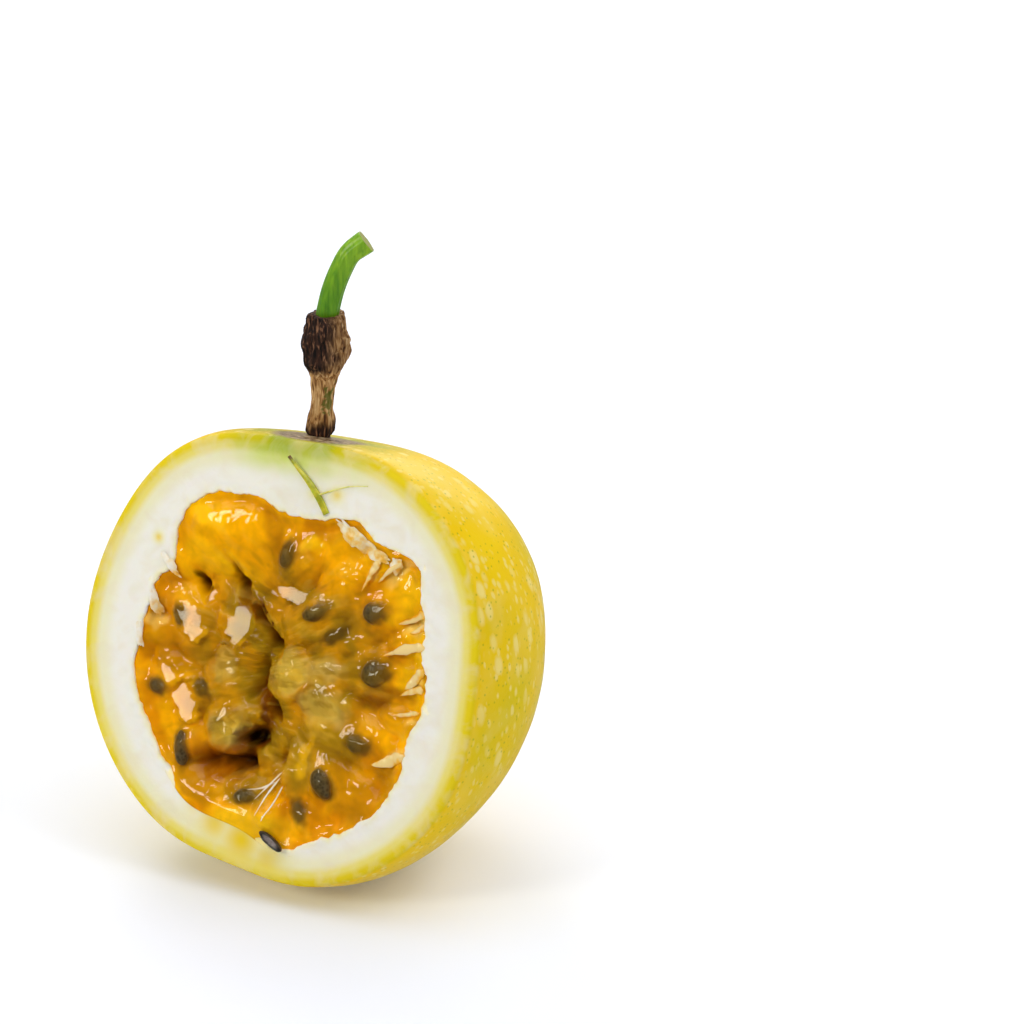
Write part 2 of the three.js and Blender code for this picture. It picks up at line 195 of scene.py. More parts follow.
def direction(turn, from_axis):
    """Unit vectors from the fruit's middle. The arguments are arrays in radians."""
    turn, from_axis = np.broadcast_arrays(turn, from_axis)
    ring = np.sin(from_axis)
    return np.stack([ring * np.cos(turn), ring * np.sin(turn), np.cos(from_axis)], axis=-1)


def skin_point(turn, from_axis):
    towards = direction(turn, from_axis)
    swell = np.ones(towards.shape[:-1])
    for dent_turn, dent_from, reach, depth in SKIN_DENTS:
        centre = direction(math.radians(dent_turn), math.radians(dent_from))
        away = np.arccos(np.clip(towards @ centre, -1, 1)) / math.radians(reach)
        swell -= depth / FRUIT_R * bell(away)
    deep = np.where(towards[..., 2] > 0, FRUIT_R, BACK_R)
    return towards * np.stack([FRUIT_R * swell, FRUIT_R * swell, deep], axis=-1)


STALK_FOOT = skin_point(*np.radians(STALK_AT))


def mouth_radius(turn):
    r = np.full(np.shape(turn), MOUTH_R)
    for at, half_width, rise in MOUTH_LOBES:
        r = r + rise * bell(turned(turn, at) / math.radians(half_width))
    return r


def oval_reach(x, y, oval):
    """0 at the middle of an oval and 1 on its edge."""
    at_x, at_y, turn, half_length, half_width = oval[:5]
    c, s = math.cos(math.radians(turn)), math.sin(math.radians(turn))
    along = (c * (x - at_x) + s * (y - at_y)) / half_length
    across = (-s * (x - at_x) + c * (y - at_y)) / half_width
    return np.hypot(along, across)


def within(x, y, oval, inner, outer, edge=0.0):
    """1 up to a share of an oval's reach and 0 past another; edge makes its edge wander."""
    return 1 - smooth(oval_reach(x, y, oval) + edge, inner, outer)


def past_mouth(x, y):
    """How far points lie outside the mouth's edge."""
    return np.hypot(x, y) - mouth_radius(np.arctan2(y, x))


def at_spot(height, x, y):
    """A height function's value at one spot."""
    return float(height(np.array([float(x)]), np.array([float(y)]))[0])


def dome(reach):
    return np.maximum(0, 1 - reach**2) ** 0.75


def wall_sacs():
    """A row of sacs along the mouth."""
    inset, *size = WALL_SAC
    for turn in turns(WALL_SACS):
        r = mouth_radius(turn) - inset
        yield r * math.cos(turn), r * math.sin(turn), math.degrees(turn), *size


ALL_SACS = [*SACS, *wall_sacs()]


def pulp_height(x, y):
    """The pulp's height against the cut plane."""
    total = np.ones_like(x)
    for sac in ALL_SACS:
        total += np.exp(SAC_BLEND * sac[5] * dome(oval_reach(x, y, sac))) - 1
    height = PULP_BED + np.log(total) / SAC_BLEND
    for at_x, at_y, turn, rise, *_ in SEEDS:
        height += rise * dome(oval_reach(x, y, (at_x, at_y, turn, SEED[0] / 2, SEED[1] / 2)))
    for well in WELLS:
        height -= well[5] * bell(1.2 * oval_reach(x, y, well))
    return height


def to_row(points):
    """From the fruit's frame in millimetres to the row frame in metres."""
    x, y, z = np.moveaxis(np.asarray(points, float), -1, 0)
    s, c = math.sin(LEAN_BACK), math.cos(LEAN_BACK)
    return np.stack([x, y * s - z * c + MIDDLE.y, y * c + z * s + MIDDLE.z], axis=-1) * MM


# ---- Meshes ----

def closed(rings, start, end):
    """A shape's points and faces: rings joined by quads, and a fan from a point at either end."""
    count, sides = np.shape(rings)[:2]
    ring, side = np.meshgrid(np.arange(count - 1), np.arange(sides), indexing="ij")
    here, above = ring * sides, (ring + 1) * sides
    after = (side + 1) % sides
    quads = np.stack([here + side, here + after, above + after, above + side], axis=-1)
    faces = quads.reshape(-1, 4).tolist()
    size, last = count * sides, (count - 1) * sides
    faces += [(size, (k + 1) % sides, k) for k in range(sides)]
    faces += [(size + 1, last + k, last + (k + 1) % sides) for k in range(sides)]
    return np.concatenate([np.reshape(rings, (-1, 3)), [start, end]]), faces


def joined(shapes):
    """Several shapes' points and faces as those of one."""
    points, faces = [], []
    for flat, own in shapes:
        first = sum(map(len, points))
        faces += [tuple(index + first for index in face) for face in own]
        points.append(flat)
    return np.concatenate(points), faces


def put(name, data):
    """A new object in the scene."""
    made = bpy.data.objects.new(name, data)
    bpy.context.scene.collection.objects.link(made)
    return made


def piece(name, points, faces, material, values=None, tints=None):
    """A smooth mesh on the root body. values and tints hold numbers and colours by point."""
    mesh = bpy.data.meshes.new(name)
    mesh.from_pydata(np.asarray(points).reshape(-1, 3).tolist(), [], faces)
    mesh.polygons.foreach_set("use_smooth", [True] * len(mesh.polygons))
    for key, numbers in (values or {}).items():
        layer = mesh.attributes.new(key, "FLOAT", "POINT")
        layer.data.foreach_set("value", np.asarray(numbers, np.float32).ravel())
    for key, colours in (tints or {}).items():
        layer = mesh.color_attributes.new(key, "FLOAT_COLOR", "POINT")
        rgba = np.concatenate([colours, np.ones((len(colours), 1))], axis=1)
        layer.data.foreach_set("color", rgba.astype(np.float32).ravel())
    mesh.materials.append(material)
    mesh.update()
    made = put(name, mesh)
    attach(made, "root")
    return made


# ---- Materials ----

class Look:
    """The nodes of a material or a world, and the shader that they feed."""

    def __init__(self, owner, shader="Principled BSDF"):
        owner.use_nodes = True
        self.owner, self.nodes, self.links = owner, owner.node_tree.nodes, owner.node_tree.links
        self.shader = self.nodes[shader]

    def plug(self, socket, value):
        """Links a socket or sets it to a number, a vector or a hex colour."""
        if isinstance(value, bpy.types.NodeSocket):
            self.links.new(value, socket)
        else:
            socket.default_value = colour(value) if isinstance(value, str) else value

    def feed(self, node, **inputs):
        """Plugs a node's inputs, their names written with _ for a space."""
        for key, value in inputs.items():
            self.plug(node.inputs[key.replace("_", " ")], value)

    def shade(self, **inputs):
        self.feed(self.shader, **inputs)

    def add(self, kind, props=None, **inputs):
        node = self.nodes.new("ShaderNode" + kind)
        for key, value in (props or {}).items():
            setattr(node, key, value)
        self.feed(node, **inputs)
        return node

    def work_out(self, kind, how, *values):
        """A Math or VectorMath node, fed in the order of its inputs."""
        node = self.add(kind, {"operation": how})
        for socket, value in zip(node.inputs, values):
            self.plug(socket, value)
        return node

    def math(self, how, a, b):
        return self.work_out("Math", how, a, b).outputs[0]

    def mixed(self, share, a, b, how="MIX"):
        node = self.add("Mix", {"data_type": "RGBA", "blend_type": how})
        for index, value in ((0, share), (6, a), (7, b)):
            self.plug(node.inputs[index], value)
        return node.outputs[2]

    def ramp(self, share, stops, ease="LINEAR"):
        """A colour ramp. Its stops are a position and a hex colour or a grey."""
        node = self.add("ValToRGB", Fac=share)
        node.color_ramp.interpolation = ease
        elements = node.color_ramp.elements
        while len(elements) < len(stops):
            elements.new(0.5)
        for element, (position, value) in zip(elements, stops):
            element.position = position
            element.color = colour(value) if isinstance(value, str) else (value, value, value, 1)
        return node.outputs["Color"]

    def place(self):
        return self.add("TexCoord").outputs["Object"]

    def attribute(self, name, output="Fac"):
        return self.add("Attribute", {"attribute_name": name}).outputs[output]

    def cloud(self, size_mm, detail=3.0, distort=0.0, where=None):
        """Noise whose lumps are about this size, from 0 to 1."""
        node = self.add("TexNoise", Vector=where or self.place(), Scale=1 / (size_mm * MM))
        self.feed(node, Detail=detail, Distortion=distort)
        return node.outputs["Fac"]

    def cells(self, size_mm, where=None):
        """The outputs of a pattern of cells of about this size."""
        where, scale = where or self.place(), 1 / (size_mm * MM)
        return self.add("TexVoronoi", {"feature": "F1"}, Vector=where, Scale=scale).outputs

    def stretched(self, share):
        """Places whose noise is drawn out upwards, to this share of its pace."""
        return self.add("Mapping", Vector=self.place(), Scale=(1, 1, share)).outputs["Vector"]

    def soft(self, weight, scale_mm, reach=None):
        """Lets light sink in, by this much for each colour if that is given."""
        self.shade(Subsurface_Weight=weight, Subsurface_Scale=scale_mm * MM)
        if reach:
            self.shade(Subsurface_Radius=reach)

    def bump(self, height, strength, depth_mm):
        node = self.add("Bump", Height=height, Strength=strength, Distance=depth_mm * MM)
        self.shade(Normal=node.outputs["Normal"])


def painted(name):
    return Look(bpy.data.materials.new(name))


FLECKS = ((2.4, 0.42, 0.62), (1.1, 0.46, 0.50))  # cell's size in millimetres, widest fleck, paleness


def skin_flecks(m):
    """How pale the skin is: soft flecks drawn out towards the stalk, in places thicker than in others."""
    drawn = m.stretched(0.55)
    waves = m.add("TexNoise", Vector=drawn, Scale=1 / (1.2 * MM)).outputs["Color"]
    wavy = m.work_out("VectorMath", "MULTIPLY_ADD", waves, (0.5 * MM,) * 3, drawn).outputs[0]
    pale = 0.0
    for cell_mm, widest, paleness in FLECKS:
        cells = m.cells(cell_mm, wavy)
        size = m.ramp(cells["Color"], [(0.30, 0.0), (0.80, widest)])
        inside = m.math("SUBTRACT", size, cells["Distance"])
        fleck = m.ramp(m.math("ADD", inside, 0.10), [(0.0, 0.0), (0.26, paleness)])
        pale = m.math("MAXIMUM", fleck, pale)
    crowded = m.ramp(m.cloud(14, 2.0), [(0.36, 0.55), (0.60, 1.0)])
    haze = m.ramp(m.cloud(6.0, 3.0, 0.4), [(0.46, 0.0), (0.74, 0.16)])
    return m.math("MAXIMUM", m.math("MULTIPLY", pale, crowded), haze)


def skin_colour(m, lime, scar):
    """Lemon yellow with pale flecks and green dots, lime round the stalk, cork on the scar at its foot."""
    yellow = [(0.30, "#DEC400"), (0.46, "#EEC800"), (0.58, "#F6CC00"), (0.74, "#FAD40C")]
    ground = m.mixed(lime, m.ramp(m.cloud(22, 2.0), yellow), "#93A51A")
    skin = m.mixed(skin_flecks(m), ground, "#FBEA9C")
    dots = m.cells(1.1)["Distance"]
    skin = m.mixed(m.ramp(dots, [(0.08, 0.55), (0.24, 0.0)]), skin, "#9A9A0C")
    corky = m.cloud(1.0, 4.0, 0.6, m.stretched(0.25))
    cork = m.ramp(corky, [(0.34, "#4A3722"), (0.48, "#8A7052"), (0.64, "#B7A27E")])
    uneven_scar = m.math("ADD", scar, m.math("MULTIPLY", corky, 0.5))
    return m.mixed(m.ramp(uneven_scar, [(0.55, 0.0), (0.80, 1.0)]), skin, cork)


def pith_colour(m, depth, lime, stain):
    """Yellow to white with the depth under the skin, green to white by the stalk, stained with juice."""
    inward = m.math("MULTIPLY", depth, 0.1)
    yellow = [(0.0, "#E2C600"), (0.08, "#EFD51C"), (0.18, "#F6E578"), (0.34, "#FBF4D0"), (0.62, "#FFFAF0")]
    green = [(0.0, "#7A9A06"), (0.16, "#9EBA0C"), (0.34, "#CCDC3E"), (0.75, "#F8F4E4")]
    pith = m.mixed(lime, m.ramp(inward, yellow, "EASE"), m.ramp(inward, green, "EASE"))
    patches = m.ramp(m.cloud(4.0, 4.0, 0.6), [(0.46, 0.0), (0.72, 0.40)])
    pith = m.mixed(patches, pith, "#F4E6C8")
    return m.mixed(stain, pith, m.ramp(stain, [(0.3, "#FCEC86"), (1.0, "#F8D428")]))


def rind_material():
    """Waxy skin where the depth under it is nothing, matt pith on the cut."""
    m = painted("rind")
    depth, lime, scar, stain = (m.attribute(name) for name in ("depth", "lime", "scar", "stain"))
    cut = m.ramp(depth, [(0.02, 0.0), (0.35, 1.0)])
    skin = skin_colour(m, lime, scar)
    m.shade(Base_Color=m.mixed(cut, skin, pith_colour(m, depth, lime, stain)))
    m.shade(Roughness=m.ramp(cut, [(0.0, 0.36), (1.0, 0.62)]), Specular_IOR_Level=0.1)
    m.soft(0.25, 1.0, (1.0, 0.7, 0.25))
    lumps = m.math("MULTIPLY", m.cloud(3.0, 2.0), 1.5)
    m.bump(m.math("ADD", m.cloud(0.5, 4.0), lumps), 0.35, 0.12)
    return m.owner


def pulp_material():
    m = painted("pulp")
    tint = m.attribute("tint", "Color")
    mottled = m.ramp(m.cloud(3.0, 2.0, 0.8), [(0.3, 0.86), (0.7, 1.10)])
    m.shade(Base_Color=m.mixed(1.0, tint, mottled, "MULTIPLY"))
    m.shade(Roughness=0.6, Specular_IOR_Level=0.0)
    m.soft(0.25, 0.9, (1.0, 0.7, 0.2))
    m.bump(m.cloud(2.4, 2.0), 0.2, 0.3)
    return m.owner


def gel_material():
    """Clear juice with a wet skin over the coloured bed."""
    m = painted("gel")
    m.shade(Base_Color=(1.0, 0.96, 0.80, 1.0), Roughness=0.05, IOR=1.36, Transmission_Weight=1.0)
    ripples = m.math("MULTIPLY", m.cloud(0.8, 2.0), 0.35)
    wet = m.math("ADD", m.cloud(2.6, 2.0, 0.5), ripples)
    m.bump(m.math("MULTIPLY", wet, m.attribute("lively")), 0.6, 0.35)
    juice = m.add("VolumeAbsorption", Color=(1.0, 0.91, 0.06, 1.0), Density=400.0)
    m.feed(m.nodes["Material Output"], Volume=juice.outputs[0])
    return m.owner


def seed_material():
    """Dark pitted shell, veiled by juice at its flanks in the colour of the pulp there."""
    m = painted("seed")
    pits = m.cells(0.55)["Distance"]
    shell = m.ramp(pits, [(0.1, "#262016"), (0.7, "#544A34")])
    juice = m.attribute("tint", "Color")
    m.shade(Base_Color=m.mixed(m.attribute("veil"), shell, juice))
    m.shade(Roughness=0.35, Specular_IOR_Level=0.15)
    m.bump(pits, 0.2, 0.10)
    return m.owner


def loose_seed_material():
    m = painted("loose_seed")
    inner = m.attribute("inner")
    pale = m.ramp(m.cloud(0.7, 3.0), [(0.35, "#6E5F5C"), (0.65, "#A89A96")])
    shell = m.ramp(m.cloud(0.6, 3.0), [(0.35, "#0C0A08"), (0.7, "#38302A")])
    m.shade(Base_Color=m.mixed(inner, shell, pale), Roughness=0.35, Coat_Weight=0.4)
    return m.owner


def dry_material():
    """Tan bark, dark brown to black on one side of the knob and at the foot, with a green patch."""
    m = painted("stalk_dry")
    dark = m.attribute("dark")
    green = m.attribute("green")
    fibres = m.cloud(0.42, 5.0, 0.6, m.stretched(0.18))
    bark = m.ramp(fibres, [(0.30, "#4A2A12"), (0.44, "#9A6A38"), (0.58, "#CFA26A"), (0.75, "#E8CB98")])
    black = m.ramp(fibres, [(0.36, "#0E0504"), (0.56, "#3C2012"), (0.70, "#94684A")])
    skin = m.mixed(dark, bark, black)
    m.shade(Base_Color=m.mixed(green, skin, "#4A5C10"))
    m.shade(Roughness=0.8, Specular_IOR_Level=0.3)
    m.bump(fibres, 0.8, 0.3)
    return m.owner


def green_material():
    m = painted("stalk_green")
    tip = m.attribute("tip")
    end = m.attribute("end")
    streaks = m.cloud(0.5, 3.0, 0.2, m.stretched(0.12))
    low = m.ramp(streaks, [(0.30, "#468404"), (0.66, "#72A80E")])
    high = m.ramp(streaks, [(0.30, "#669C06"), (0.66, "#92C01E")])
    skin = m.mixed(tip, low, high)
    m.shade(Base_Color=m.mixed(end, skin, "#9A9A2A"))
    m.shade(Roughness=0.32)
    m.soft(0.1, 0.6)
    m.bump(streaks, 0.4, 0.2)
    return m.owner


def tongue_material():
    """Yellow jelly, cream where it stands out of the juice."""
    m = painted("tongue")
    tint = m.ramp(m.attribute("pale"), [(0.1, "#F4A80C"), (0.5, "#FFC23C"), (0.95, "#FFDE94")])
    m.shade(Base_Color=tint, Roughness=0.25, Coat_Weight=0.4)
    m.soft(0.1, 0.5)
    return m.owner


def membrane_material():
    m = painted("membrane")
    patches = m.cloud(1.6, 3.0)
    dry = m.ramp(patches, [(0.34, "#F8E6C0"), (0.60, "#FFFAF0")])
    wet = m.ramp(patches, [(0.36, "#F6B838"), (0.50, "#FBD88C"), (0.66, "#FFF2D4")])
    m.shade(Base_Color=m.mixed(m.attribute("wet"), dry, wet), Roughness=0.3)
    m.bump(patches, 0.2, 0.2)
    return m.owner


def strand_material():
    m = painted("strand")
    green = m.ramp(m.cloud(1.2, 2.0), [(0.35, "#A0A412"), (0.65, "#D4CC34")])
    m.shade(Base_Color=m.mixed(m.attribute("withered"), green, "#6B4A1C"))
    m.shade(Roughness=0.35)
    m.soft(0.3, 0.6)
    return m.owner


def branch_material():
    m = painted("branch")
    pale = m.ramp(m.cloud(1.2, 2.0), [(0.35, "#D6D25A"), (0.65, "#EFEA96")])
    m.shade(Base_Color=pale, Roughness=0.4)
    m.soft(0.3, 0.6)
    return m.owner


# ---- The rind ----

RIND_SECTORS = 480
SKIN_RINGS, RIM_RINGS, CUT_RINGS, LIP_RINGS, WALL_RINGS, HOLLOW_RINGS = 96, 8, 44, 5, 12, 8
SKIN_FROM = 0.012  # where the skin's first ring lies, as a share of the way from the back's middle to the rim
RIM = 1.3  # how far the cut's edge is rounded
LIP = 0.5  # the round of the mouth's edge
UNDERCUT = 3.0  # how far the mouth's wall runs back under the pith
WALL_DEEP = 7.0  # how far that wall goes down
HOLLOW_FROM = math.radians(88)  # where the hollow's round side starts, from the cut's axis
SKIN_DEPTH, INSIDE_DEPTH = 0.0, 9.0  # the depth under the skin, as the material reads it
LIME_REACH, SCAR_REACH = 13.0, 8.0  # how far from the stalk's foot the skin is lime, and corky


def shares(count, skip=1):
    """Steps from 0 to 1, without the first few."""
    return np.linspace(0, 1, count)[skip:]


def rim_rings(turn, corner_r, rim_from, corner):
    """From the skin round onto the cut, each with its depth."""
    start = skin_point(turn, rim_from)
    inner = direction(turn, math.pi / 2) * (corner_r - RIM)[:, None]
    inner[:, 2] = CUT_Z
    for share in shares(RIM_RINGS):
        arc = (1 - share) ** 2 * start + 2 * share * (1 - share) * corner + share**2 * inner
        yield arc, 0.02 + RIM * share**1.5


def cut_rings(turn, corner_r, mouth):
    """Over the cut to the mouth, round its lip, down its torn wall and round the hollow."""
    outward = direction(turn, math.pi / 2)
    for share in shares(CUT_RINGS):
        r = blend(corner_r - RIM, mouth + LIP, share)
        points = outward * r[:, None]
        points[:, 2] = CUT_Z
        points[:, 2] += 0.14 * rough(points, 7.0, 2) * smooth(share, 0.0, 0.3)
        lumps = (0.22 * rough(points + 40, 1.3, 3) + 0.15) * (1 - 0.8 * near_spill(turn))
        points[:, 2] += lumps * smooth(share, 0.72, 1.0)
        yield points, corner_r - r
    top = points[:, 2]
    for angle in shares(LIP_RINGS) * math.pi / 2:
        points = outward * (mouth + LIP * (1 - math.sin(angle)))[:, None]
        points[:, 2] = top - LIP * (1 - math.cos(angle))
        yield points, corner_r - mouth
    for down in shares(WALL_RINGS):
        points = outward * (mouth + UNDERCUT * down**1.5)[:, None]
        points[:, 2] = top - LIP - WALL_DEEP * down
        points += (0.18 * rough(points + 80, 1.4, 3) * (1 - down))[:, None] * outward
        yield points, INSIDE_DEPTH
    for share in shares(HOLLOW_RINGS)[:-1]:
        yield HOLLOW_R * direction(turn, blend(HOLLOW_FROM, math.pi, share)), INSIDE_DEPTH


def rind_rings(turn, mouth):
    """The rind's points in rings from the back over the cut into the hollow, and their depths."""
    edge_from = math.acos(CUT_Z / FRUIT_R)
    rim_from = edge_from + RIM / FRUIT_R
    corner = skin_point(turn, edge_from)
    corner[:, 2] = CUT_Z
    corner_r = np.hypot(corner[:, 0], corner[:, 1])
    skin = [
        (skin_point(turn, blend(math.pi, rim_from, share)), SKIN_DEPTH)
        for share in np.linspace(SKIN_FROM, 1, SKIN_RINGS)
    ]
    rings = [*skin, *rim_rings(turn, corner_r, rim_from, corner), *cut_rings(turn, corner_r, mouth)]
    points = np.array([ring for ring, _ in rings])
    depth = np.array([np.broadcast_to(under, turn.shape) for _, under in rings])
    skin_lumps = 0.10 * rough(points, 9.0, 2) * (depth == SKIN_DEPTH)
    points += skin_lumps[..., None] * points / np.linalg.norm(points, axis=-1, keepdims=True)
    return on_floor(points), depth


def rind_values(points, depth, mouth):
    """What the rind's material reads: depth, lime and scar round the stalk's foot, and stain."""
    from_foot = np.linalg.norm(points - STALK_FOOT, axis=-1)
    lime = np.exp(-((from_foot / LIME_REACH) ** 4)) * (0.55 + 0.45 * smooth(rough(points, 5.0, 2), -0.5, 0.4))
    scar = np.exp(-((from_foot / SCAR_REACH) ** 3))
    to_mouth = np.clip(np.hypot(points[..., 0], points[..., 1]) - mouth, 0, None)
    stain = juice_stain(points, to_mouth) * (depth > 0.5)
    values = {key: np.append(of, [0, 0]) for key, of in (("lime", lime), ("scar", scar), ("stain", stain))}
    return {"depth": np.append(depth, [SKIN_DEPTH, INSIDE_DEPTH]), **values}


def rind():
    turn = turns(RIND_SECTORS)
    mouth = mouth_radius(turn) + mouth_fray(turn)
    points, depth = rind_rings(turn, mouth)
    flat, faces = closed(points, (0, 0, -BACK_R), (0, 0, -HOLLOW_R))
    values = rind_values(points, depth, mouth)
    made = piece("rind_skin_and_pith", to_row(flat), faces, rind_material(), values)
    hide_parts("rind")


def mouth_fray(turn):
    """The uneven torn edge of the mouth, in millimetres past its lobes."""
    at = MOUTH_R * direction(turn, np.full_like(turn, math.pi / 2))
    coarse = 0.55 * rough(at, 4.5, 2)
    fine = 0.30 * rough(at + 17, 1.3, 3)
    return coarse + fine


STAINS = [  # x, y, reach, strength: juice on the pith
    (-3.4, -30.5, 4.6, 1.0), (-8.6, -28.8, 3.6, 0.9), (1.6, -32.6, 3.6, 0.8), (-12.6, -27.0, 2.4, 0.5),
    (-24.5, 15.5, 1.0, 0.9), (3.0, 27.2, 1.0, 0.7), (7.0, 27.6, 1.2, 0.8), (-31.0, -18.0, 3.0, 0.3),
]


def juice_stain(points, to_mouth):
    x, y = points[..., 0], points[..., 1]
    wet = 0.55 * bell(to_mouth / 0.7) * smooth(rough(points + 9, 2.0, 2), -0.5, 0.6)
    for at_x, at_y, reach, strength in STAINS:
        wet = np.maximum(wet, strength * bell(np.hypot(x - at_x, y - at_y) / reach))
    return wet


def on_floor(points):
    """Points that lie under the floor, moved straight up onto it."""
    s, c = math.sin(LEAN_BACK), math.cos(LEAN_BACK)
    lift = np.maximum(0, -to_row(points)[..., 2] / MM)
    return points + lift[..., None] * np.array([0, c, s])


# ---- The pulp ----

PULP_SECTORS = 420
PULP_RINGS = 130
UNDER_LIP = 1.2  # how far the pulp runs in under the pith
GEL_DEEP = 1.1  # the clear gel over the pulp's coloured bed
BED_FLOOR, GEL_FLOOR = 15.0, 14.0  # how far under the cut the two end

WET_FLATS = [  # x, y, turn, half-length, half-width: flat wet facets that all look one way
    (-17.0, 3.1, -52, 3.5, 2.0), (-8.2, 4.0, 70, 3.4, 2.3), (-20.4, -6.4, -42, 3.0, 1.2),
    (-16.8, -10.4, -56, 3.4, 2.0), (0.4, 10.4, -8, 3.4, 1.4), (-14.6, 7.6, 60, 1.4, 0.9),
    (16.0, 11.4, 20, 0.6, 0.4), (16.1, -10.9, 10, 0.9, 0.35), (9.8, -17.2, -75, 1.2, 0.4),
    (9.6, 6.4, 45, 0.9, 0.35), (17.2, -17.4, 20, 0.7, 0.4), (-9.2, -10.9, 60, 1.5, 0.8),
    (-8.3, -12.8, -80, 1.4, 0.6),
]
FLAT_SLOPE = (-0.03, -0.27)  # rise to the right and up the cut face, for each millimetre

ORANGE, BRIGHT, DEEP, AMBER = "#FABC00", "#FFD010", "#DE9600", "#C68C08"
GOLD, OLIVE, GREY, YELLOW = "#D29C14", "#A6861E", "#CCBA8E", "#F8CA1A"
# reddish brown painted shade for the long slit
SLIT_SHADE = "#A05A08"
# painted shade in the pulp's holes and clefts: the near-black colour always, the brown one where it lies on
# them
BROWN, HOLE_SHADE, SEED_SHADE, PALE = "#804404", "#1C0A02", "#584824", "#FFE088"
STREAK_DARK, STREAK_PALE = "#7E5C06", "#E0BC56"
SPILL_TURN, SPILL_HALF, SPILL_HIGH = -106, 22, 0.48  # where the juice has run over the pith
LOBE_TILT, LOBE_LEVEL = 0.09, 17  # the big lobe leans down the cut face; y where it keeps its height
GLINT, GLINT_OFF_LOBE, GLINT_TORN = 0.06, 0.12, 0.70  # everywhere, and how much more there
WALL_BRIM = -0.15  # the juice stands this high against the wall
HEART = (0, -2, 0, 1, 1)  # the pulp's middle, as an oval whose reach is in millimetres
FIBRES_FROM = [(9.0, 0.0), (-17.0, -6.0)]  # x, y, for the left half and the right half
FIBRE_RING = 22  # the radius of the ring that their noise is taken from
CLEAR_SACS = [  # x, y, turn, half-length, half-width, how much deeper the gel is
    (1.0, -2.2, 60, 4.6, 3.2, 1.4), (-8.2, -13.6, 60, 4.6, 3.6, 1.6), (-6.0, -22.0, 10, 4.6, 2.4, 1.0),
    (-10.6, -4.0, 95, 4.4, 3.0, 0.8), (7.4, -6.6, -10, 4.6, 3.0, 0.8),
]
PATCHES = [  # x, y, turn, half-length, half-width, colour, strength
    (-12.5, 18.5, 165, 12.0, 8.5, ORANGE, 1.0), (-16.0, 21.0, 165, 5.0, 3.0, BRIGHT, 0.6),
    (-12.5, 13.0, 165, 8.0, 3.0, BRIGHT, 0.6), (-22.8, 7.0, 80, 5.0, 3.0, DEEP, 0.9),
    (-3.6, 20.5, 100, 4.5, 2.4, AMBER, 0.7), (4.3, 13.2, 20, 4.5, 2.4, AMBER, 0.7),
    (0.0, 7.0, 20, 3.5, 2.0, GOLD, 0.8), (9.6, 17.5, 40, 8.0, 6.5, ORANGE, 0.9),
    (21.5, 13.0, 60, 6.0, 4.0, BRIGHT, 0.7), (23.5, 3.0, 90, 9.0, 3.4, BRIGHT, 0.8),
    (22.0, -8.5, 90, 6.0, 4.0, ORANGE, 0.9), (18.2, -3.4, 15, 5.5, 2.4, BROWN, 0.6),
    (15.4, -20.6, 140, 8.0, 5.0, AMBER, 0.8), (20.5, -15.8, 110, 4.6, 3.0, AMBER, 0.9),
    (11.0, -25.6, 165, 5.0, 3.0, DEEP, 0.8), (7.4, -6.8, -10, 5.6, 3.4, GREY, 0.9),
    (6.6, -0.8, 10, 5.4, 2.8, GREY, 0.6), (10.8, -12.6, -20, 6.0, 3.6, OLIVE, 0.8),
    (5.4, -17.4, 80, 6.4, 3.0, OLIVE, 0.8), (0.9, -2.1, 60, 4.6, 3.4, GREY, 0.9),
    (-22.5, -12.5, 110, 7.0, 3.4, DEEP, 0.9), (-19.0, -14.0, 120, 5.0, 2.6, ORANGE, 0.9),
    (-21.0, -2.0, 100, 7.0, 4.5, AMBER, 0.7), (-10.8, -3.2, 95, 4.6, 2.8, GREY, 0.7),
    (-9.6, -9.2, 90, 5.0, 3.6, GOLD, 0.7), (-8.2, -14.2, 60, 4.8, 3.8, GREY, 0.9),
    # painted shade, reddish brown: the first patch darkens the long slit under the sac
    (-10.0, -19.6, 8, 7.6, 3.4, SLIT_SHADE, 0.9), (-13.5, -23.0, 150, 6.0, 3.0, AMBER, 0.9),
    (-3.5, -22.6, 10, 6.0, 2.8, OLIVE, 0.8), (-3.6, -28.0, 10, 9.0, 3.2, YELLOW, 0.9),
    # painted shade: the near-black and brown patches on this row and the next two lie in holes and clefts
    (-16.6, 9.4, 112, 2.0, 0.9, HOLE_SHADE, 0.8), (-9.0, 9.6, 120, 5.0, 1.3, BROWN, 0.7),
    (-3.6, 3.4, 130, 4.0, 1.1, OLIVE, 0.7), (-3.4, -6.4, 80, 4.2, 1.5, BROWN, 0.8),
    (-2.2, -9.6, -60, 3.6, 1.5, BROWN, 0.9), (23.5, 9.6, 40, 3.6, 1.3, PALE, 0.7),
    (24.6, 1.2, 60, 3.0, 1.3, PALE, 0.6), (24.2, -6.4, 10, 2.4, 1.0, PALE, 0.6),
    (19.4, 17.2, 50, 3.4, 1.3, PALE, 0.6), (15.0, 17.6, 70, 3.0, 1.2, PALE, 0.5),
    (22.6, -11.4, 30, 3.0, 1.1, PALE, 0.6), (-24.2, 1.5, 20, 2.4, 1.1, PALE, 0.5),
    (3.4, 18.4, 20, 2.6, 1.2, BRIGHT, 0.8), (5.6, -14.6, 75, 4.6, 1.4, YELLOW, 0.7),
    # painted shade: the two near-black patches fill the holes under the torn sacs
    (-5.2, -14.4, 35, 4.2, 3.0, HOLE_SHADE, 1.0), (-6.4, -19.0, 0, 2.4, 1.4, HOLE_SHADE, 0.7),
]


def pulp_grid():
    """x and y of the pulp's front: polar rings that end under the mouth's lip."""
    turn = turns(PULP_SECTORS)
    share = np.linspace(1, 0, PULP_RINGS + 1)[:-1, None]
    r = share * (mouth_radius(turn) + UNDER_LIP)
    return r * np.cos(turn), r * np.sin(turn)


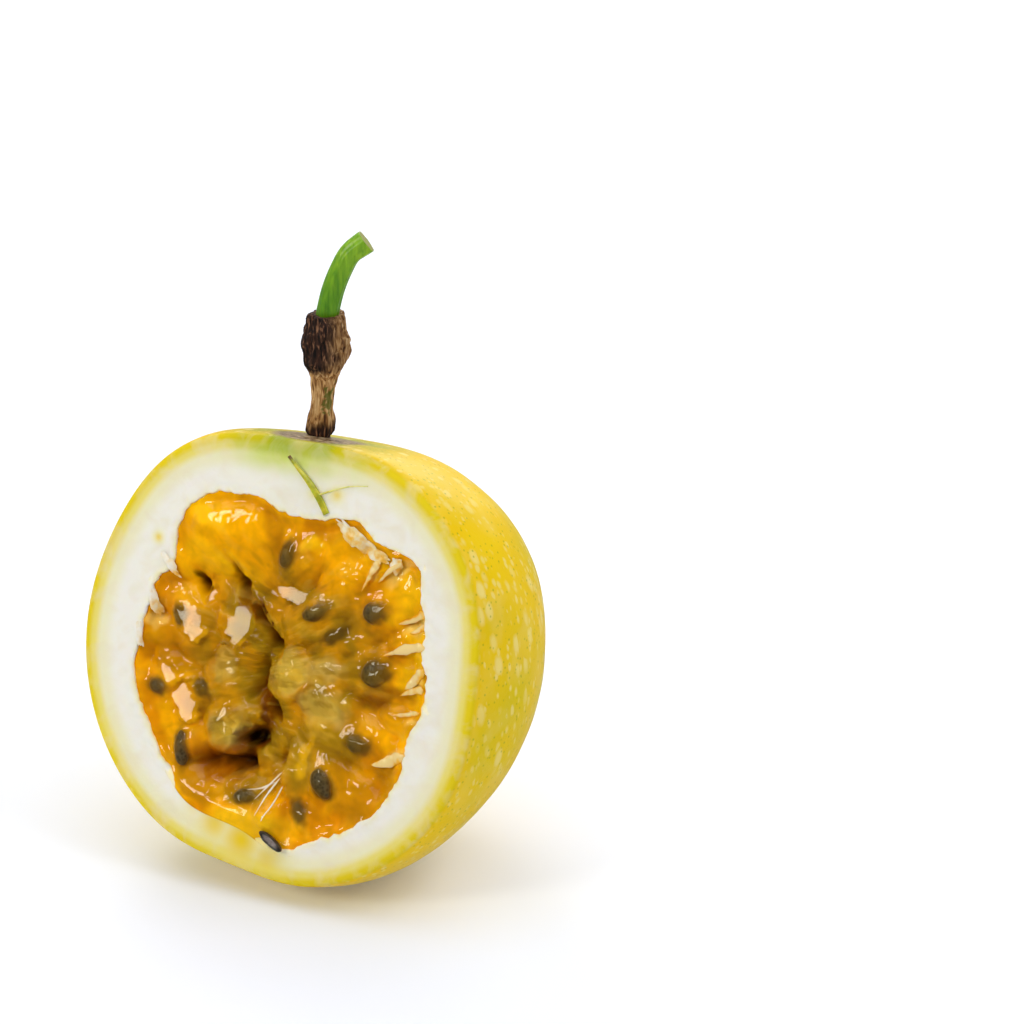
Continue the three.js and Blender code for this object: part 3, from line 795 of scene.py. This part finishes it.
def uneven(x, y, offset, size, octaves):
    """Noise over the cut face, taken from a place of its own by the offset."""
    return rough(np.stack([x, y, np.zeros_like(x)], axis=-1) + offset, size, octaves)


def flat_share(x, y):
    """1 on a wet facet, 0 away from them."""
    edge = facet_edge(x, y)
    return np.maximum.reduce([within(x, y, flat, 0.86, 1.12, edge) for flat in WET_FLATS])


def facet_edge(x, y):
    """How a facet's edge wanders."""
    return 0.34 * uneven(x, y, 60, 1.7, 3) + 0.22 * uneven(x, y, 64, 0.7, 2)


def off_lobe(x, y):
    """0 on the big smooth lobe at the upper left, 1 away from it."""
    return smooth(oval_reach(x, y, PATCHES[0]), 0.6, 1.1)


def lively(x, y):
    """How much the gel glints: most where it is torn, not at all on a wet facet."""
    return (GLINT + GLINT_OFF_LOBE * off_lobe(x, y) + GLINT_TORN * torn(x, y)) * (1 - flat_share(x, y))


def well_share(x, y):
    """1 at the bottom of a hole or cleft, 0 away from them."""
    return np.maximum.reduce([min(1.0, well[5] / 5.0) * bell(1.1 * oval_reach(x, y, well)) for well in WELLS])


def fibres(x, y, across=2.0, along=0.30):
    """Noise drawn out from the middle cleft towards the wall on either side, as the sacs lie."""
    wavy = 0.8 * uneven(x, y, 11, 5.0, 2)
    sides = []
    for centre_x, centre_y in FIBRES_FROM:
        r = np.hypot(x - centre_x, y - centre_y)
        turn = np.arctan2(y - centre_y, x - centre_x)
        ring = (FIBRE_RING * np.cos(turn) + wavy, FIBRE_RING * np.sin(turn) + wavy)
        sides.append(np.stack([*ring, along * r], axis=-1))
    right = smooth(x + 3 + wavy, -2, 2)
    left_noise, right_noise = (rough(at + 3, across, 3) for at in sides)
    return blend(left_noise, right_noise, right)


def folds(x, y):
    """Long soft ridges of the wet surface, and small crisp folds where it is torn, in millimetres."""
    crinkle = np.abs(uneven(x, y, 21, 2.6, 4)) - 0.2
    ridge = (1 - np.abs(fibres(x, y))) ** 3 - 0.5
    away = off_lobe(x, y)
    gentle = 0.20 * ridge * away + 0.14 * uneven(x, y, 5, 5.5, 2)
    gentle = gentle + 0.16 * (1 - away) * uneven(x, y, 61, 3.0, 3)
    return gentle + torn(x, y) * (0.42 * uneven(x, y, 91, 1.1, 3) - 0.40 * crinkle)


TORN = [  # x, y, turn, half-length, half-width, strength: where the sacs are torn and glint
    (-4.0, -22.0, 10, 9.0, 5.0, 1.0), (-2.0, -13.0, 90, 8.0, 3.4, 0.8), (-3.6, 3.0, 110, 11.0, 2.6, 0.6),
    (-12.5, -9.0, 120, 8.0, 5.0, 0.25), (17.5, 4.8, 30, 5.0, 2.2, 0.6), (12.8, 17.2, 40, 6.0, 3.4, 0.4),
    (2.4, -13.5, 100, 5.0, 1.6, 0.6), (14.0, -27.5, 30, 7.0, 2.0, 0.4), (22.5, -4.0, 90, 9.0, 2.4, 0.3),
]
TORN_LEAST = 0.06


def torn(x, y):
    """How crinkled the surface is: 1 where the sacs are torn, next to nothing on whole ones."""
    spots = [strength * within(x, y, oval, 0.5, 1.2) for *oval, strength in TORN]
    return np.maximum(TORN_LEAST, np.maximum.reduce(spots))


def spill(x, y):
    """1 where juice has run over the mouth's lower edge onto the pith."""
    return near_spill(np.arctan2(y, x)) * smooth(past_mouth(x, y), -4.0, -0.4)


def near_spill(turn):
    return np.exp(-((turned(turn, SPILL_TURN) / math.radians(SPILL_HALF)) ** 4))


def wandering(x, y):
    """The same places moved a little to and fro, so that sacs and clefts get uneven edges."""
    return x + 0.7 * uneven(x, y, 140, 3.4, 3), y + 0.7 * uneven(x, y, 170, 3.4, 3)


def gel_top(x, y):
    """The wet surface: the CAD's sacs with finer folds, and facets that lie flat."""
    height = pulp_height(*wandering(x, y)) + folds(x, y)
    edge = facet_edge(x, y)
    ripple = 0.025 * uneven(x, y, 33, 2.2, 2)
    for flat in WET_FLATS:
        at_x, at_y = flat[:2]
        middle = at_spot(pulp_height, at_x, at_y)
        plane = middle + FLAT_SLOPE[0] * (x - at_x) + FLAT_SLOPE[1] * (y - at_y)
        height = blend(height, plane + ripple, within(x, y, flat, 0.88, 1.14, edge))
    to_wall = -past_mouth(x, y)
    on_lobe = (1 - off_lobe(x, y)) * smooth(to_wall, 0.8, 3.4)
    height = height + LOBE_TILT * (y - LOBE_LEVEL) * on_lobe
    brim = WALL_BRIM + 0.30 * uneven(x, y, 77, 1.8, 2)
    height = blend(height, np.maximum(height, brim), 1 - smooth(to_wall, 0.2, 2.4))
    return blend(height, SPILL_HIGH + 0.05 * uneven(x, y, 5, 2.0, 2), spill(x, y))


def bed_top(x, y):
    """The coloured pulp under the gel: deep under clear sacs, thin at the wall and in the wells."""
    deep = GEL_DEEP * (0.22 + 0.98 * within(x, y, HEART, 14, 26))
    for clear in CLEAR_SACS:
        deep = deep + clear[5] * within(x, y, clear, 0.5, 1.1)
    return gel_top(x, y) - deep * (1 - 0.8 * well_share(x, y))


def pulp_tint(x, y):
    """The bed's colour: orange by the wall, olive gold in the middle, then patches, streaks and seeds, and
    painted shade in the holes and clefts.
    """
    warped_x, warped_y = x + 1.6 * uneven(x, y, 0, 5.0, 3), y + 1.6 * uneven(x, y, 50, 5.0, 3)
    shade = smooth(uneven(x, y, 30, 5.0, 3), -0.4, 0.5)[..., None]
    inward = within(warped_x, warped_y, HEART, 13, 22)[..., None]
    tint = blend(blend(rgb(DEEP), rgb(ORANGE), shade), blend(rgb(OLIVE), rgb(GOLD), shade), inward)
    layers = []
    for *oval, code, strength in PATCHES:
        layers.append((code, strength * within(warped_x, warped_y, oval, 0.45, 1.1)))
    # painted shade: brown, then near-black towards the bottom of each hole and cleft
    deep = well_share(x, y)
    layers += [(BROWN, 0.8 * smooth(deep, 0.15, 0.5)), (HOLE_SHADE, smooth(deep, 0.45, 0.85))]
    streak = fibres(x, y, 1.5, 0.22)
    middle = blend(0.25, 0.7, inward[..., 0])
    layers.append((STREAK_DARK, 0.60 * middle * smooth(streak, 0.10, 0.55)))
    layers.append((STREAK_PALE, 0.50 * middle * smooth(-streak, 0.15, 0.6)))
    edge = 0.25 * uneven(x, y, 70, 1.4, 2)
    for at_x, at_y, turn, _, _, length, width in SEEDS:
        oval = (at_x, at_y, turn, length / 2, width / 2)
        layers.append((SEED_SHADE, 0.9 * within(x, y, oval, 0.55, 1.6, edge)))
    for code, share in layers:
        tint = blend(tint, rgb(code), share[..., None])
    return tint


def pulp_solid(name, height, floor_z, material, values=None, tint=None):
    """A closed piece with this top, a side wall under the lip and a flat bottom."""
    x, y = pulp_grid()
    top = np.stack([x, y, CUT_Z + height(x, y)], axis=-1)
    skirt = top[0].copy()
    skirt[:, 2] = floor_z
    flat, faces = closed([skirt, *top], (0, 0, floor_z), (0, 0, CUT_Z + at_spot(height, 0, 0)))
    values = {key: of(flat[:, 0], flat[:, 1]) for key, of in (values or {}).items()}
    tints = {"tint": tint(flat[:, 0], flat[:, 1])} if tint else None
    return piece(name, to_row(flat), faces, material, values, tints)


def pulp():
    bed = pulp_solid("pulp_bed", bed_top, CUT_Z - BED_FLOOR, pulp_material(), tint=pulp_tint)
    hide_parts("pulp")
    gel = pulp_solid("pulp_gel", gel_top, CUT_Z - GEL_FLOOR, gel_material(), {"lively": lively})
    gel.visible_shadow = False


# ---- Seeds ----

SEED_SIDES, SEED_RINGS = 28, 16
SEED_TILT = 16  # degrees, the most that a seed is tipped on its side
EGG = 0.22  # how much narrower one end of it is
VEIL, VEIL_LOW, VEIL_HIGH = 0.20, 0.78, 0.7  # juice over a seed, the more at its foot, up to this height
LOOSE_SIDES = 48
LOOSE_PROFILE = [  # reach from the middle, height: from the underside over the rim into the pale cup
    (0.35, -0.5), (0.75, -0.42), (0.95, -0.15), (1.0, 0.15), (0.98, 0.4),
    (0.90, 0.5), (0.80, 0.47), (0.72, 0.36), (0.5, 0.30), (0.25, 0.28),
]
LOOSE_MIDDLES = (-0.5, 0.24)  # height at its middle, under it and in the cup
CUP_REACH = 0.70


def egg(at, turn, tilt, size):
    """A seed: a flattened egg, narrower at one end."""
    length, width, thick = size
    along = np.cos(np.linspace(0, math.pi, SEED_RINGS + 2)[1:-1])[:, None]
    along, around = np.broadcast_arrays(along, turns(SEED_SIDES))
    wide = np.sqrt(1 - along**2) * (1 - EGG * along)
    oval = [wide * np.cos(around) * width, wide * np.sin(around) * thick]
    rings = np.stack([along * length, *oval], axis=-1) / 2
    flat, faces = closed(rings, (length / 2, 0, 0), (-length / 2, 0, 0))
    spin = Matrix.Rotation(math.radians(turn), 3, "Z") @ Matrix.Rotation(math.radians(tilt), 3, "X")
    return flat @ np.array(spin).T + at, faces


def seeds():
    """All the seeds that show through the gel, as one piece."""
    shapes = []
    for k, (x, y, turn, _, proud, length, width) in enumerate(SEEDS):
        at = np.array([x, y, CUT_Z + at_spot(bed_top, x, y) + proud - SEED[2] / 2])
        shapes.append(egg(at, turn, SEED_TILT * math.sin(2.4 * k), (length, width, SEED[2])))
    points, faces = joined(shapes)
    x, y, z = points.T
    above = z - CUT_Z - bed_top(x, y) + 0.12 * rough(points, 1.2, 2)
    veil = VEIL + VEIL_LOW * (1 - smooth(above, 0.0, VEIL_HIGH))
    tint = pulp_tint(x, y)
    piece("seeds", to_row(points), faces, seed_material(), {"veil": veil}, {"tint": tint})


def loose_seed():
    """Half a seed lying on the pulp's lower edge, its pale cut side up."""
    x, y, turn, length, width, thick = LOOSE_SEED
    around = turns(LOOSE_SIDES)
    reach, high = (column[:, None] for column in np.array(LOOSE_PROFILE).T)
    oval = [reach * np.cos(around) * length / 2, reach * np.sin(around) * width / 2]
    rings = np.stack([*oval, high * thick + 0 * around], axis=-1)
    rings[..., 2] += 0.10 * rough(rings, 0.9, 3)
    flat, faces = closed(rings, *((0, 0, middle * thick) for middle in LOOSE_MIDDLES))
    inner = np.repeat((reach < CUP_REACH) & (high > 0), LOOSE_SIDES)
    spin = np.array(Matrix.Rotation(math.radians(turn), 3, "Z"))
    points = flat @ spin.T + np.array([x, y, CUT_Z + LOOSE_LIFT + thick / 2])
    values = {"inner": np.append(inner, [0, 1])}
    piece("loose_seed", to_row(points), faces, loose_seed_material(), values)


# ---- Tongues, torn membrane and the green strand ----

TONGUES = [  # start x, y at the wall; end x, y; width; how far it stands proud
    (25.4, 6.5, 17.8, 3.6, 1.9, 0.40), (24.6, 11.9, 19.8, 9.1, 1.6, 0.10),
    (25.6, 3.0, 22.3, -0.9, 1.7, 0.15), (25.9, -0.4, 21.2, -2.2, 1.5, 0.12),
    (25.7, -4.0, 20.4, -5.2, 1.0, 0.10), (24.0, -11.0, 17.9, -13.9, 1.8, 0.22),
    (15.6, 18.6, 12.8, 13.1, 0.9, 0.12), (19.4, 19.0, 15.6, 15.0, 1.0, 0.35),
    (25.2, 10.0, 22.0, 8.0, 1.2, 0.08),
]
FLAPS = [  # x, y, turn, half-length, half-width, lift: thin torn sheets of pith over the pulp's edge
    (10.6, 21.4, -34, 3.6, 1.3, 0.05), (14.6, 19.6, -24, 3.0, 1.1, 0.10),
    (18.4, 18.2, 60, 1.5, 0.9, 0.20), (-24.2, 5.0, 105, 2.6, 0.7, 0.05),
    (-21.6, 11.4, 130, 2.2, 0.8, 0.10), (-26.2, -0.6, 98, 2.2, 0.5, 0.05),
]
WHISKS = [  # x, y of start, middle and end: fine pale threads over the lowest hollow
    ((1.8, -19.4), (0.4, -22.4), (-0.6, -25.6)), ((0.6, -20.4), (-1.2, -21.6), (-3.4, -22.2)),
    ((1.6, -18.6), (0.2, -20.6), (-1.8, -23.4)), ((2.6, -20.6), (2.0, -23.0), (0.8, -26.2)),
]
RIBBON_STEPS = 24
TONGUE_SIDES, TONGUE_THICK = 14, 0.30
WHISK_SIDES, WHISK_SIZE = 8, (0.24, 0.10)  # width, thickness


def ribbon(path, width, thick, sides):
    """A flat tapering tongue along a path of points."""
    side = unit(np.cross(unit(np.gradient(path, axis=0)), [0, 0, 1]))
    share = np.linspace(0, 1, len(path))
    wide = width / 2 * (1 - share**1.8) ** 0.8 * smooth(share, -0.1, 0.2) + 0.04
    wide = wide * (1 + 0.45 * rough(path, 1.6, 2))
    turn = turns(sides)
    across = side[:, None] * (wide[:, None] * np.cos(turn))[..., None]
    over = np.array([0, 0, 1.0]) * (np.minimum(wide, thick)[:, None] * np.sin(turn))[..., None]
    return closed(path[:, None] + across + over, path[0], path[-1])


def draped(start, end, lift):
    """A path from start to end that follows the pulp and arches over it."""
    share = np.linspace(0, 1, RIBBON_STEPS)
    x, y = blend(start[0], end[0], share), blend(start[1], end[1], share)
    bend = 0.5 * np.sin(math.pi * share) * math.sin(3.0 * start[0] + start[1])
    x, y = x + bend * 0.6, y + bend
    arch = lift * np.sin(math.pi * np.clip(share * 1.1, 0, 1))
    return np.stack([x, y, CUT_Z + gel_top(x, y) + arch], axis=-1)


def tongues():
    points, faces = joined(
        ribbon(draped(ends[:2], ends[2:], proud), width, TONGUE_THICK, TONGUE_SIDES)
        for *ends, width, proud in TONGUES
    )
    sunk = points[:, 2] - CUT_Z - gel_top(points[:, 0], points[:, 1])
    pale = smooth(sunk + 0.25 * rough(points, 0.8, 2), -0.2, 0.5)
    piece("pale_tongues", to_row(points), faces, tongue_material(), {"pale": pale})


FLAP_SIDES, FLAP_RINGS = 72, 12
FLAP_THICK = 0.16
FLAP_EDGE = 1.6  # how far out the noise of its ragged edge is taken


def sheet(flap):
    """A thin ragged sheet that follows the pulp and the pith under it: its underside, then its top."""
    at_x, at_y, turn, half_length, half_width, lift = flap
    around = turns(FLAP_SIDES)
    cos, sin = np.cos(around), np.sin(around)
    edge = (FLAP_EDGE * cos + at_x, FLAP_EDGE * sin + at_y)
    reach = 1 + 0.45 * uneven(*edge, 0, 1.4, 2) + 0.22 * uneven(*edge, 7, 0.5, 3)
    c, s = math.cos(math.radians(turn)), math.sin(math.radians(turn))
    outward = np.linspace(0.06, 1, FLAP_RINGS)
    rings = []
    for share, thick in [*((out, 0) for out in outward), *((out, FLAP_THICK) for out in outward[::-1])]:
        along, across = half_length * share * reach * cos, half_width * share * reach * sin
        x, y = at_x + c * along - s * across, at_y + s * along + c * across
        rest = rest_height(x, y) + lift * (1 - share**2) + 0.05 * uneven(x, y, 44, 1.3, 2)
        rings.append(np.stack([x, y, CUT_Z + rest + thick * (1 - share**4)], axis=-1))
    return closed(rings, rings[0].mean(axis=0), rings[-1].mean(axis=0))


def rest_height(x, y):
    """What a thin sheet lies on: the gel, rising onto the pith at the mouth."""
    return blend(gel_top(x, y) + 0.1, np.full_like(x, 0.18), smooth(past_mouth(x, y), -0.9, 0.4))


def flaps():
    points, faces = joined(map(sheet, FLAPS))
    wet = smooth(-past_mouth(*points.T[:2]) + 0.5 * rough(points, 0.9, 2), -0.2, 1.4)
    piece("torn_membrane", to_row(points), faces, membrane_material(), {"wet": wet})


def whisks():
    shapes = []
    for marks in WHISKS:
        flat = spline(marks, RIBBON_STEPS)
        height = gel_top(flat[:, 0], flat[:, 1])
        proud = np.maximum(height, np.linspace(height[0], height[-1], len(height))) + 0.12
        path = np.column_stack([flat, CUT_Z + proud])
        shapes.append(ribbon(path, *WHISK_SIZE, WHISK_SIDES))
    points, faces = joined(shapes)
    piece("fine_threads", to_row(points), faces, membrane_material())


STRAND = [  # x, y, height over the cut
    (-1.7, 32.5, 1.1), (-0.1, 30.8, 0.7), (2.1, 28.7, 0.3), (4.0, 26.6, 0.2), (5.6, 24.3, 0.1)
]
STRAND_R, STRAND_STEPS, STRAND_SIDES = 0.5, 60, 20
BRANCH = [(3.8, 27.1, 0.3), (6.5, 28.3, 0.25), (9.1, 29.3, 0.25), (12.4, 29.9, 0.2)]
BRANCH_R, BRANCH_STEPS, BRANCH_SIDES = 0.16, 40, 8


def strand_radius(share, turn):
    return STRAND_R * (0.5 + 0.55 * smooth(share, 0.0, 0.6) + 0.12 * np.cos(3 * turn + 2 * share))


def branch_radius(share, turn):
    return BRANCH_R * (1.1 - 0.7 * share) * np.ones_like(turn)


def strand():
    """The green strand that has peeled off the pith, with its thin side branch."""
    flat, faces = tube(spline(STRAND, STRAND_STEPS) + [0, 0, CUT_Z], strand_radius, STRAND_SIDES)
    tip = 1 - smooth(np.linspace(0, 1, STRAND_STEPS), 0.02, 0.10)
    values = {"withered": np.append(np.repeat(tip, STRAND_SIDES), [1, 0])}
    piece("green_strand", to_row(flat), faces, strand_material(), values)

    flat, faces = tube(spline(BRANCH, BRANCH_STEPS) + [0, 0, CUT_Z], branch_radius, BRANCH_SIDES)
    piece("strand_branch", to_row(flat), faces, branch_material())


def tube(path, radius, sides):
    """A closed tube along a path, as points and faces."""
    return closed(tube_rings(path, radius, sides), path[0], path[-1])


# ---- Stalks ----

STALK_SIDES, STALK_RINGS = 120, 150
GREEN_SIDES, GREEN_RINGS = 72, 90
END_SHARES = (0.06, 0.3, 0.6, 0.85)  # rings on the green stalk's cut end, from its edge to its middle
PATCH = (6.4, -1.4, 0, 2.8, 1.3)  # the green patch on the bark: height, twice its turn, and its reach


def stalk_to_row(points):
    """From the stalk's frame, upright at its foot, to the row frame in metres."""
    c, s = math.cos(STALK_LEAN_TOWARDS), math.sin(STALK_LEAN_TOWARDS)
    x, y, z = np.moveaxis(points, -1, 0)
    return np.stack([c * x - s * y, s * x + c * y, z], axis=-1) * MM + to_row(STALK_FOOT)


def bark_swell(turn, height):
    fluting = 0.05 * np.sin(5 * turn + 0.25 * height) + 0.04 * np.sin(9 * turn - 0.4 * height)
    lumps = 0.05 * np.sin(2 * turn + 0.9 * height) + 0.03 * np.sin(3 * turn - 1.7 * height)
    return 1 + np.where(height > 0, fluting + lumps, 0)


def bark():
    """The dry stalk's shape: fluted, with cracked bark that is roughest on the knob."""
    heights, radii = np.array(STALK_DRY).T
    turn, height = np.meshgrid(turns(STALK_SIDES), np.linspace(heights[0], KNOB_TOP, STALK_RINGS))
    r = np.interp(height, heights, radii) * bark_swell(turn, height)
    unit = np.stack([r * np.cos(turn), r * np.sin(turn), height * 0.22], axis=-1)
    knob = smooth(height, 10.0, 12.5)
    r = r + (0.16 + 0.30 * knob) * rough(unit, 1.1, 4) + 0.25 * knob * rough(unit * (1, 1, 3), 2.2, 3)
    points = np.stack([r * np.cos(turn) + STALK_LEAN * height, r * np.sin(turn), height], axis=-1)
    return closed(points, (STALK_LEAN * heights[0], 0, heights[0]), points[-1].mean(axis=0) - [0, 0, 0.4])


def dry_stalk():
    flat, faces = bark()
    x, y, height = flat.T
    spots = rough(flat, 3.0, 3)
    on_knob = smooth(height + spots, 10.4, 12.2)
    left = smooth(-x + STALK_LEAN * height + 1.2 * spots, -2.6, 0.2)
    foot = 1 - smooth(height + 1.6 * spots, 0.8, 3.2)
    dark = np.clip(on_knob * (0.4 + 0.6 * left) + foot, 0, 1)
    patch = oval_reach(height, np.arctan2(y, x) * 2, PATCH)
    green = 0.8 * (1 - smooth(patch + 0.8 * rough(flat + 9, 0.9, 3), 0.6, 0.9))
    values = {"dark": dark, "green": green}
    made = piece("stalk_bark", stalk_to_row(flat), faces, dry_material(), values)
    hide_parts("stalk_dry")


def spline(points, count):
    """Evenly spaced points on a smooth curve through the given ones."""
    points = np.asarray(points, float)
    ends = [2 * points[0] - points[1], *points, 2 * points[-1] - points[-2]]
    line = []
    for p0, p1, p2, p3 in zip(ends, ends[1:], ends[2:], ends[3:]):
        for t in np.linspace(0, 1, 24, endpoint=False):
            a, b, c = 2 * p1, p2 - p0, 2 * p0 - 5 * p1 + 4 * p2 - p3
            line.append((a + b * t + c * t**2 + (3 * p1 - p0 - 3 * p2 + p3) * t**3) / 2)
    line = np.array([*line, points[-1]])
    steps = np.append(0, np.cumsum(np.linalg.norm(np.diff(line, axis=0), axis=1)))
    wanted = np.linspace(0, steps[-1], count)
    return np.stack([np.interp(wanted, steps, line[:, k]) for k in range(line.shape[1])], axis=-1)


def tube_rings(path, radius, sides):
    """Rings square to a path; radius is a function of share and turn."""
    along = unit(np.gradient(path, axis=0))
    side = unit(np.cross(along, (0, 1, 0)))
    over = np.cross(side, along)
    turn = turns(sides)
    share = np.linspace(0, 1, len(path))
    r = radius(share[:, None], turn[None])[..., None]
    c, s = np.cos(turn)[None, :, None], np.sin(turn)[None, :, None]
    return path[:, None] + r * (c * side[:, None] + s * over[:, None])


def green_radius(share, turn):
    ribs = 0.035 * np.cos(6 * turn + 1.5 * share) + 0.02 * np.cos(11 * turn)
    return GREEN_R * (0.98 + ribs + 0.10 * smooth(share, 0.75, 1.0))


def green_stalk():
    foot = STALK_LEAN * KNOB_TOP
    path = spline([(foot + sideways, 0, KNOB_TOP + up) for sideways, up in GREEN_PATH], GREEN_RINGS)
    rings = tube_rings(path, green_radius, GREEN_SIDES)
    inner = [blend(rings[-1], path[-1], share) for share in END_SHARES]
    flat, faces = closed([*rings, *inner], path[0], path[-1])
    height = np.repeat(np.linspace(0, 1, GREEN_RINGS), GREEN_SIDES)
    on_end = np.ones(len(END_SHARES) * GREEN_SIDES)
    values = {
        "tip": np.concatenate([smooth(height, 0.25, 0.95), on_end, [0, 1]]),
        "end": np.concatenate([0 * height, on_end, [0, 1]]),
    }
    made = piece("stalk_fresh", stalk_to_row(flat), faces, green_material(), values)
    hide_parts("stalk_green")


# ---- Studio ----

WHITE = (1, 1, 1)
LIGHTS = [  # name, azimuth, elevation, metres from the fruit, its size, power, tint
    ("key", -28, 30, 0.9, (0.22, 0.27), 2.4, (1.0, 0.98, 0.80)),  # mirrored by the wet facets
    ("back", 188, 20, 1.1, (0.6, 0.35), 2.4, WHITE),  # mirrored by the skin at the upper right
    ("back_left", 228, 38, 1.1, (0.5, 0.5), 2.6, WHITE),  # its shadow falls to the right
    ("fill", 100, 45, 1.2, (0.7, 0.7), 4.2, WHITE),
]
CEILING_AT, CEILING_SIZE, CEILING_POWER = (0, 0.3, 2.2), (3.2, 3.2), 36.0
FRONT_LIGHT, BACKDROP_LIGHT = 0.10, 0.35
BACKDROP_TURN, BACKDROP_RISE = 25, 20  # azimuth past straight behind, and elevation, of its brightest place
FLOOR_HALF = 4.0
FLOOR_BLUE = (0.79, 0.82, 0.92, 1)  # makes up for the fruit's yellow glow
FLOOR_GLOW = 0.13  # the floor is a light table


def area_light(name, at, towards, size, power, tint):
    light = bpy.data.lights.new(name, "AREA")
    light.shape, light.size, light.size_y = "RECTANGLE", size[0], size[1]
    light.energy, light.color = power, tint
    made = put(name, light)
    made.location = at
    made.rotation_euler = (Vector(towards) - Vector(at)).to_track_quat("-Z", "Y").to_euler()


def seen_from(azimuth, elevation):
    """The direction from the fruit to a place, in degrees as the camera's are given."""
    a, e = math.radians(azimuth), math.radians(elevation)
    return Vector((math.sin(a) * math.cos(e), -math.cos(a) * math.cos(e), math.sin(e)))


def backdrop():
    """A world that is white behind the fruit and dim on the camera's side, as a studio is."""
    world = bpy.data.worlds.new("studio")
    bpy.context.scene.world = world
    m = Look(world, "Background")
    towards = m.add("TexCoord").outputs["Generated"]
    middle = seen_from(180 + BACKDROP_TURN, BACKDROP_RISE)
    behind = m.work_out("VectorMath", "DOT_PRODUCT", towards, middle).outputs["Value"]
    level_up = m.add("MapRange", Value=behind, From_Min=-0.3, From_Max=0.6)
    m.feed(level_up, To_Min=FRONT_LIGHT, To_Max=BACKDROP_LIGHT)
    m.shade(Color=(*WHITE, 1), Strength=level_up.outputs["Result"])


def studio():
    aim = MIDDLE * MM
    for name, azimuth, elevation, away, *rest in LIGHTS:
        area_light(name, aim + away * seen_from(azimuth, elevation), aim, *rest)
    under = (*CEILING_AT[:2], 0)
    area_light("ceiling", CEILING_AT, under, CEILING_SIZE, CEILING_POWER, WHITE)
    backdrop()


def ground():
    corners = [(x * FLOOR_HALF, y * FLOOR_HALF, 0) for x, y in ((-1, -1), (1, -1), (1, 1), (-1, 1))]
    mesh = bpy.data.meshes.new("floor")
    mesh.from_pydata(corners, [], [(0, 1, 2, 3)])
    m = painted("floor")
    m.shade(Base_Color=FLOOR_BLUE, Roughness=0.6, Specular_IOR_Level=0.1)
    m.shade(Emission_Color=(*WHITE, 1), Emission_Strength=FLOOR_GLOW)
    mesh.materials.append(m.owner)
    floor = put("floor", mesh)
    floor.visible_glossy = False
    floor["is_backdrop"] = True


def camera():
    """Stands where the fruit's middle is seen from SEEN_FROM, and turns so that it lies at MIDDLE_PX."""
    azimuth, elevation = (math.radians(angle) for angle in SEEN_FROM)
    focal_px = LENS / SENSOR * FRAME_PX
    side = (MIDDLE_PX[0] - FRAME_PX / 2) / focal_px
    above = (FRAME_PX / 2 - MIDDLE_PX[1]) / focal_px
    away = focal_px * PX_MM * math.hypot(1, side, above)
    swing = math.asin(side / math.hypot(1, side, above) / math.cos(elevation))
    drop = math.atan2(math.sin(elevation), math.cos(elevation) * math.cos(swing)) + math.atan(above)
    forward = -seen_from(math.degrees(azimuth + swing), math.degrees(drop))
    lens = bpy.data.cameras.new("camera")
    lens.lens, lens.sensor_width = LENS, SENSOR
    lens.clip_start, lens.clip_end = 0.05, 20
    made = put("camera", lens)
    made.location = (MIDDLE + seen_from(*SEEN_FROM) * away) * MM
    made.rotation_euler = forward.to_track_quat("-Z", "Y").to_euler()
    bpy.context.scene.camera = made


rind()
pulp()
seeds()
loose_seed()
tongues()
flaps()
whisks()
strand()
dry_stalk()
green_stalk()
studio()
ground()
camera()

scene = bpy.context.scene
scene.view_settings.view_transform = "Standard"

boxes = {"cad": CAD_BOX, "visual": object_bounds()}
{key: [list(low), list(high)] for key, (low, high) in boxes.items()}
